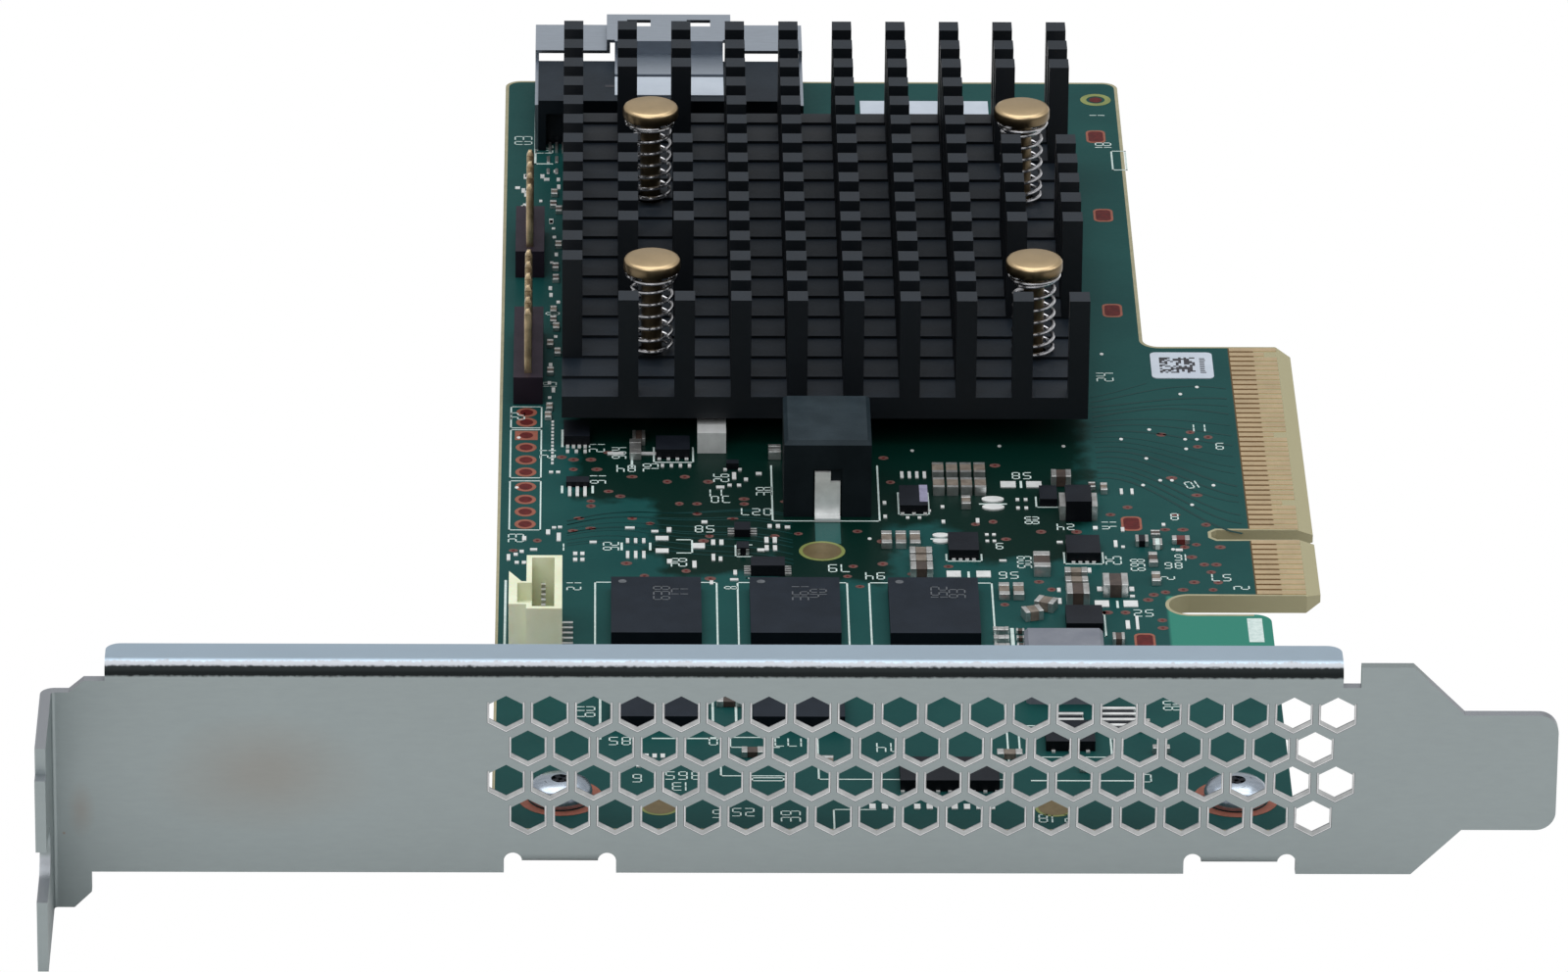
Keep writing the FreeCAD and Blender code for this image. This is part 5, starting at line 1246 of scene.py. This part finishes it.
# Printed numerals: text, x, y, height, turn in degrees.
NUMERALS = (
    ("22", -67.3, 24, 0.9, 90), ("21", -64.7, 16.1, 1, 90), ("23", -67.3, -1, 1, 90),
    ("27", -60.5, 17.4, 1, 90), ("91", -60.4, 10.9, 1, 90), ("964", -58.6, 16.4, 0.9, 90),
    ("79", -55.9, 13.4, 1, 90), ("84", -58, 13.2, 1, 180), ("26", -49.9, 11.3, 1, 90),
    ("71", -50.1, 8.2, 1, 180), ("70", -50, 6.9, 1, 180), ("38", -46.3, 8.6, 1, 90),
    ("027", -47, 4.4, 1, 180), ("58", -51.4, 0.9, 1, 180), ("92", -59.3, -2.6, 1, 90),
    ("28", -53.6, -5.8, 1, 90), ("1", -63, -2.8, 1, 180), ("8", -49.3, -10.8, 0.8, 90),
    ("58", -24.3, 11.9, 1, 180), ("80", -23.7, 2.8, 0.9, 90), ("24", -20.9, 1.5, 0.9, 180),
    ("509", -24.6, -5.6, 0.9, 90), ("56", -26, -8.2, 1, 180), ("41", -17.2, 1.8, 0.9, 90),
    ("25", -17.1, -5.2, 1, 90), ("698", -15.1, -6.1, 0.9, 90), ("2", -12.7, -8.7, 0.9, 90),
    ("79", -40.2, -6.9, 1.1, 180), ("94", -37.2, -8.4, 1, 180), ("9", -26.6, -2.4, 0.9, 180),
    ("11", -8.4, 21.9, 1, 180), ("9", -7.1, 18.1, 1, 180), ("10", -9.6, 10.2, 1, 195),
    ("8", -11.6, 3.6, 1, 180), ("16", -11.2, -4.6, 0.9, 180), ("86", -12.1, -6.2, 0.9, 180),
    ("57", -8.2, -8.6, 1, 180), ("2", -6.6, -10.6, 1, 90), ("52", -15, -15.6, 1, 180),
    ("24", -16.4, 32.6, 1.1, 90), ("18", -14.6, 84, 1.1, 90), ("1", -14.9, 91, 1, 90),
    ("8", -62.6, 97, 0.9, 90), ("03", -67.2, 85, 1.2, 90), ("02", -65.3, 83, 1.2, 90),
    ("21", -62.4, -10.6, 0.9, 90), ("8", -64.4, 46, 0.9, 90), ("19", -64.6, 30.5, 0.9, 90),
    ("6", -57.2, -47.2, 1.1, 180), ("365", -53.5, -46.7, 1.1, 180), ("13", -53.5, -48.7, 1.1, 180),
    ("25", -48.7, -53.4, 1.1, 180), ("39", -44.9, -54.1, 1.2, 90), ("60", -61.4, -34.8, 1.2, 90),
    ("177", -44.6, -40.5, 1.1, 180), ("0", -51, -40.3, 1.1, 180), ("85", -58.6, -40.3, 1.1, 180),
    ("6", -50.8, -53.7, 1.1, 180), ("74", -36.8, -41.4, 1.2, 180), ("218", -23.6, -54.4, 1.1, 180),
    ("515", -16.4, -35.2, 1.1, 90), ("0", -16, -47, 1.1, 180), ("80", -13.4, -33.4, 1.1, 90))
# Printed rectangles: west, near, east and far sides, and the sides left out.
OUTLINES = (
    (-60.7, -23.8, -50.4, -9.7, ("near",)), (-48.8, -23.8, -39.5, -9.7, ("near",)),
    (-37.8, -23.8, -27.4, -9.7, ("near",)), (-45.7, 2.5, -36.5, 13.9, ("far",)),
    (-55.7, 14.4, -52.2, 17.6, ("far",)), (-53.8, -4, -52.4, -1.2, ("left",)),
    (-48.9, -4.7, -47.4, -2.2, ("right",)), (-35, 3.8, -32.3, 8.4, ("far",)),
    (-31.2, -5.5, -28.1, -4, ("far",)), (-21.3, -6, -17.9, -3.6, ("far",)),
    (-23.3, 5.4, -21.4, 7.6, ("far", "right")), (-18.4, -20.2, -18.2, -15.8, ("left",)),
    (-48, -9, -44.4, -8.8, ()), (-42.6, -47.4, -27, -31.5, ("far",)), (-26.2, -43.2, -18.6, -37.2, ()),
    (-50.5, -46.8, -44.5, -45, ("far", "right")), (-41.5, -56.5, -38, -52.8, ("near", "right")),
    (-49.7, -41.5, -45.6, -39.5, ("right",)), (-48, -47.7, -45.3, -47, ()), (-14, 78.5, -12.6, 83, ()))
# Printed bars: west, near, east and far sides.
BARS = (
    (-24.5, 9.4, -24.3, 10.8), (-29.45, -8.8, -29.25, -7.5), (-17.2, -14.6, -17, -13.2),
    (-57.6, 13.4, -57.4, 16.2), (-63.55, 17.6, -63.35, 21.2), (-68.2, -26, -68, -9.4),
    (-26.2, -24.5, -25.9, -18.6), (-63.55, 8.1, -63.35, 9.6), (-60.95, 8.1, -60.75, 9.6),
    (-58.5, -3.4, -58.3, -1.9), (-56.1, -3.4, -55.9, -1.9), (-66.2, 79.5, -66, 99),
    (-66.2, 79.5, -64.5, 79.7), (-60.3, -40, -60.1, -24), (-51.1, -38.5, -50.9, -24),
    (-49.2, -38.5, -49, -24), (-56, -39.9, -50, -39.7), (-25.4, -47.6, -16.8, -47.4), (-66.2, 41, -66, 46),
    (-62.6, 40.5, -62.4, 47.5), (-6.45, -21.2, -5.2, -16.6))
# Arbitrary numbers in two lines on each memory chip.
MEMORY_MARKS = (("638", "17"), ("361", "40"), ("152", "93"), ("708", "26"), ("519", "64"))


def memory_marks():
    """First-contact dots and faint numbers on the memory chips."""
    marks = Shape()
    for number, lines in enumerate(MEMORY_MARKS, 1):
        low, high = corners("memory_chip_%d" % number)
        level = (high.z, high.z + 0.01)
        marks.disc(low.x + 0.95, high.y - 0.9, *level, 0.7)
        for text, east in zip(lines, (4.2, 5.7)):
            marks.numeral(text, low.x + east, high.y - 3.2, 1.3, 90, *level)
    marks.piece("memory_print", "faint print", "chip_mould")


class CARD_OT_print(bpy.types.Operator):
    """Printed outlines, bars and plain numerals"""
    bl_idname = "card.board_print"
    bl_label = "Board print"

    def execute(self, context):
        sizes = context.scene.card_sizes
        parts = Parts()
        ink, thick = parts["print"], sizes.print_thick
        for *sides, gaps in OUTLINES:
            ink.frame(*sides, sizes.print_line * 0.75, thick, gaps)
        for text, x, y, height, turn in NUMERALS:
            ink.numeral(text, x, y, height * 1.25, turn, 0.0, thick)
        for bar in BARS:
            ink.box(*bar, 0, thick)
        parts.pieces("print")
        memory_marks()
        return {"FINISHED"}


def label_squares(low, high):
    """Random dark squares and a column of bars."""
    draw = random.Random(7)
    shape = Shape()
    top = high.z + 0.006
    west, near = low.x + 0.75, low.y + 1.1
    cells, along = 13, high.y - low.y - 2.2
    cell_x, cell_y = 3.1 / cells, along / cells
    for column in range(cells):
        for row in range(cells):
            if draw.random() < 0.5:
                x, y = west + column * cell_x, near + row * cell_y
                shape.box(x, y, x + cell_x, y + cell_y, high.z, top)
    for row in range(9):
        y = near + row * along / 9
        shape.box(high.x - 1.15, y, high.x - draw.uniform(0.6, 0.75), y + 0.2, high.z, top)
    shape.piece("label_squares", "ink", "label_paper")


class CARD_OT_labels(bpy.types.Operator):
    """Dark squares and bars on the small label, which can't be read as any code"""
    bl_idname = "card.labels"
    bl_label = "Label print"

    def execute(self, context):
        low, high = corners("code_label")
        label_squares(low, high)
        sheet = Shape()
        middle = (low + high) / 2
        sheet.prism(rounded(middle.x, middle.y, high.x - low.x, high.y - low.y, 0.5), low.z, high.z)
        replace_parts(sheet.piece("small_code_label", "paper", "label_paper"), "code_label")
        return {"FINISHED"}


class CARD_OT_port_details(bpy.types.Operator):
    """Dark slots in the top of the drive port's block"""
    bl_idname = "card.port_details"
    bl_label = "Port details"

    def execute(self, context):
        low, high = corners("port_housing")
        marks = Shape()
        for x in (-54.0, -48.2):
            marks.box(x - 0.45, high.y - 4.6, x + 0.45, high.y - 4.2, high.z, high.z + 0.02)
        marks.box(-59.8, low.y + 3.2, -58.5, low.y + 3.7, high.z, high.z + 0.02)
        marks.piece("port_slots", "ink", "black_plastic")
        return {"FINISHED"}


# ---------------------------------------------------------------- stage, in metres

FLOOR_REACH = 3.0
FLOOR_BELOW = 0.0002
# Area lamps: name, place, size, power; all point at the card.
LAMPS = (
    ("top_lamp", (-0.1, 0.15, 1.1), (1.4, 1.2), 9.0),
    ("front_lamp", (-0.4, -1.0, 0.9), (0.9, 0.7), 4.0),
    ("right_lamp", (0.9, -0.1, 0.7), (0.8, 0.8), 2.5))
LAMP_AIM = Vector((-0.045, 0.02, 0))
CAMERA_PLACE = (-0.060941, -0.919357, 0.424322)
CAMERA_DEGREES = {"yaw": 1.0092, "pitch": 24.5439, "roll": 0.5618}
SENSOR, FOCAL_LENGTH, CLIP_END = 36.0, 275.69, 20.0


def mixed_by_camera(tree, other, to_camera, output):
    """One shader for the camera's own rays and another for all other rays."""
    seen = tree.nodes.new("ShaderNodeLightPath")
    mix = tree.nodes.new("ShaderNodeMixShader")
    out = tree.nodes.new(output)
    join(tree, (seen.outputs["Is Camera Ray"], mix.inputs["Fac"]), (other.outputs[0], mix.inputs[1]),
         (to_camera.outputs[0], mix.inputs[2]), (mix.outputs["Shader"], out.inputs["Surface"]))


def floor_material():
    """White to the camera and in reflections, and it keeps the card's soft shadow."""
    material = bpy.data.materials.new("floor_white")
    tree = bare_tree(material)
    mixed_by_camera(tree, node_at(tree, "ShaderNodeBsdfDiffuse", Color=(0.8, 0.8, 0.8, 1)),
                    node_at(tree, "ShaderNodeEmission", Color=(1, 1, 1, 1), Strength=1.0),
                    "ShaderNodeOutputMaterial")
    return material


def set_world(scene):
    """A white surround for the camera, plain grey light for the card."""
    scene.world = bpy.data.worlds.new("studio")
    tree = bare_tree(scene.world)
    mixed_by_camera(tree, node_at(tree, "ShaderNodeBackground", Strength=0.55),
                    node_at(tree, "ShaderNodeBackground", Strength=1.0), "ShaderNodeOutputWorld")


def add_floor(scene):
    """A large plane just below the card."""
    sheet = bpy.data.meshes.new("floor")
    plan = rectangle(-FLOOR_REACH, -FLOOR_REACH, FLOOR_REACH, FLOOR_REACH)
    sheet.from_pydata([(x, y, 0) for x, y in plan], [], [(0, 1, 2, 3)])
    sheet.materials.append(floor_material())
    ground = bpy.data.objects.new("floor", sheet)
    ground.location.z = CAD_BOX[0][2] - FLOOR_BELOW
    scene.collection.objects.link(ground)


def add_lamps(scene):
    """Soft rectangular lamps that point at the card."""
    for name, place, (across, along), power in LAMPS:
        lamp = bpy.data.lights.new(name, "AREA")
        lamp.shape = "RECTANGLE"
        lamp.size = across
        lamp.size_y = along
        lamp.energy = power
        holder = bpy.data.objects.new(name, lamp)
        holder.location = place
        holder.rotation_euler = (LAMP_AIM - Vector(place)).to_track_quat("-Z", "Y").to_euler()
        scene.collection.objects.link(holder)


def add_camera(scene):
    """The camera of the main view."""
    lens = bpy.data.cameras.new("camera")
    lens.sensor_width = SENSOR
    lens.lens = FOCAL_LENGTH
    lens.clip_end = CLIP_END
    camera = bpy.data.objects.new("camera", lens)
    yaw, pitch, roll = (math.radians(value) for value in CAMERA_DEGREES.values())
    turn = Matrix.Rotation(-yaw, 4, "Z") @ Matrix.Rotation(math.pi / 2 - pitch, 4, "X")
    camera.matrix_world = Matrix.Translation(CAMERA_PLACE) @ (turn @ Matrix.Rotation(roll, 4, "Z"))
    scene.collection.objects.link(camera)
    scene.camera = camera


class CARD_OT_stage(bpy.types.Operator):
    """White floor, soft lamps and the camera"""
    bl_idname = "card.stage"
    bl_label = "Stage"

    def execute(self, context):
        scene = context.scene
        add_floor(scene)
        set_world(scene)
        add_lamps(scene)
        add_camera(scene)
        scene.view_settings.view_transform = "Standard"
        return {"FINISHED"}


OPERATORS = (CARD_OT_finishes, CARD_OT_spring_pins, CARD_OT_springs, CARD_OT_screws, CARD_OT_posts,
             CARD_OT_vent_rims, CARD_OT_board_margin, CARD_OT_traces, CARD_OT_plating, CARD_OT_small_parts,
             CARD_OT_print, CARD_OT_labels, CARD_OT_port_details, CARD_OT_stage)


class CARD_PT_panel(bpy.types.Panel):
    """The steps that dress the card"""
    bl_label = "RAID controller card"
    bl_idname = "CARD_PT_panel"
    bl_space_type = "VIEW_3D"
    bl_region_type = "UI"
    bl_category = "Card"

    def draw(self, context):
        for operator in OPERATORS:
            self.layout.operator(operator.bl_idname)
        for group in (context.scene.card_colours, context.scene.card_sizes):
            box = self.layout.box()
            for name in group.__annotations__:
                box.prop(group, name)


CLASSES = (CardColours, CardSizes, *OPERATORS, CARD_PT_panel)


def register():
    for item in CLASSES:
        bpy.utils.register_class(item)
    bpy.types.Scene.card_colours = bpy.props.PointerProperty(type=CardColours)
    bpy.types.Scene.card_sizes = bpy.props.PointerProperty(type=CardSizes)


def unregister():
    del bpy.types.Scene.card_colours
    del bpy.types.Scene.card_sizes
    for item in reversed(CLASSES):
        bpy.utils.unregister_class(item)


def main():
    """Register the classes and dress the card step by step."""
    register()
    for operator in OPERATORS:
        area, name = operator.bl_idname.split(".")
        result = getattr(getattr(bpy.ops, area), name)()
        if result != {"FINISHED"}:
            raise RuntimeError("step did not finish: " + operator.bl_idname)
    bpy.context.view_layer.update()


if __name__ == "__main__":
    main()
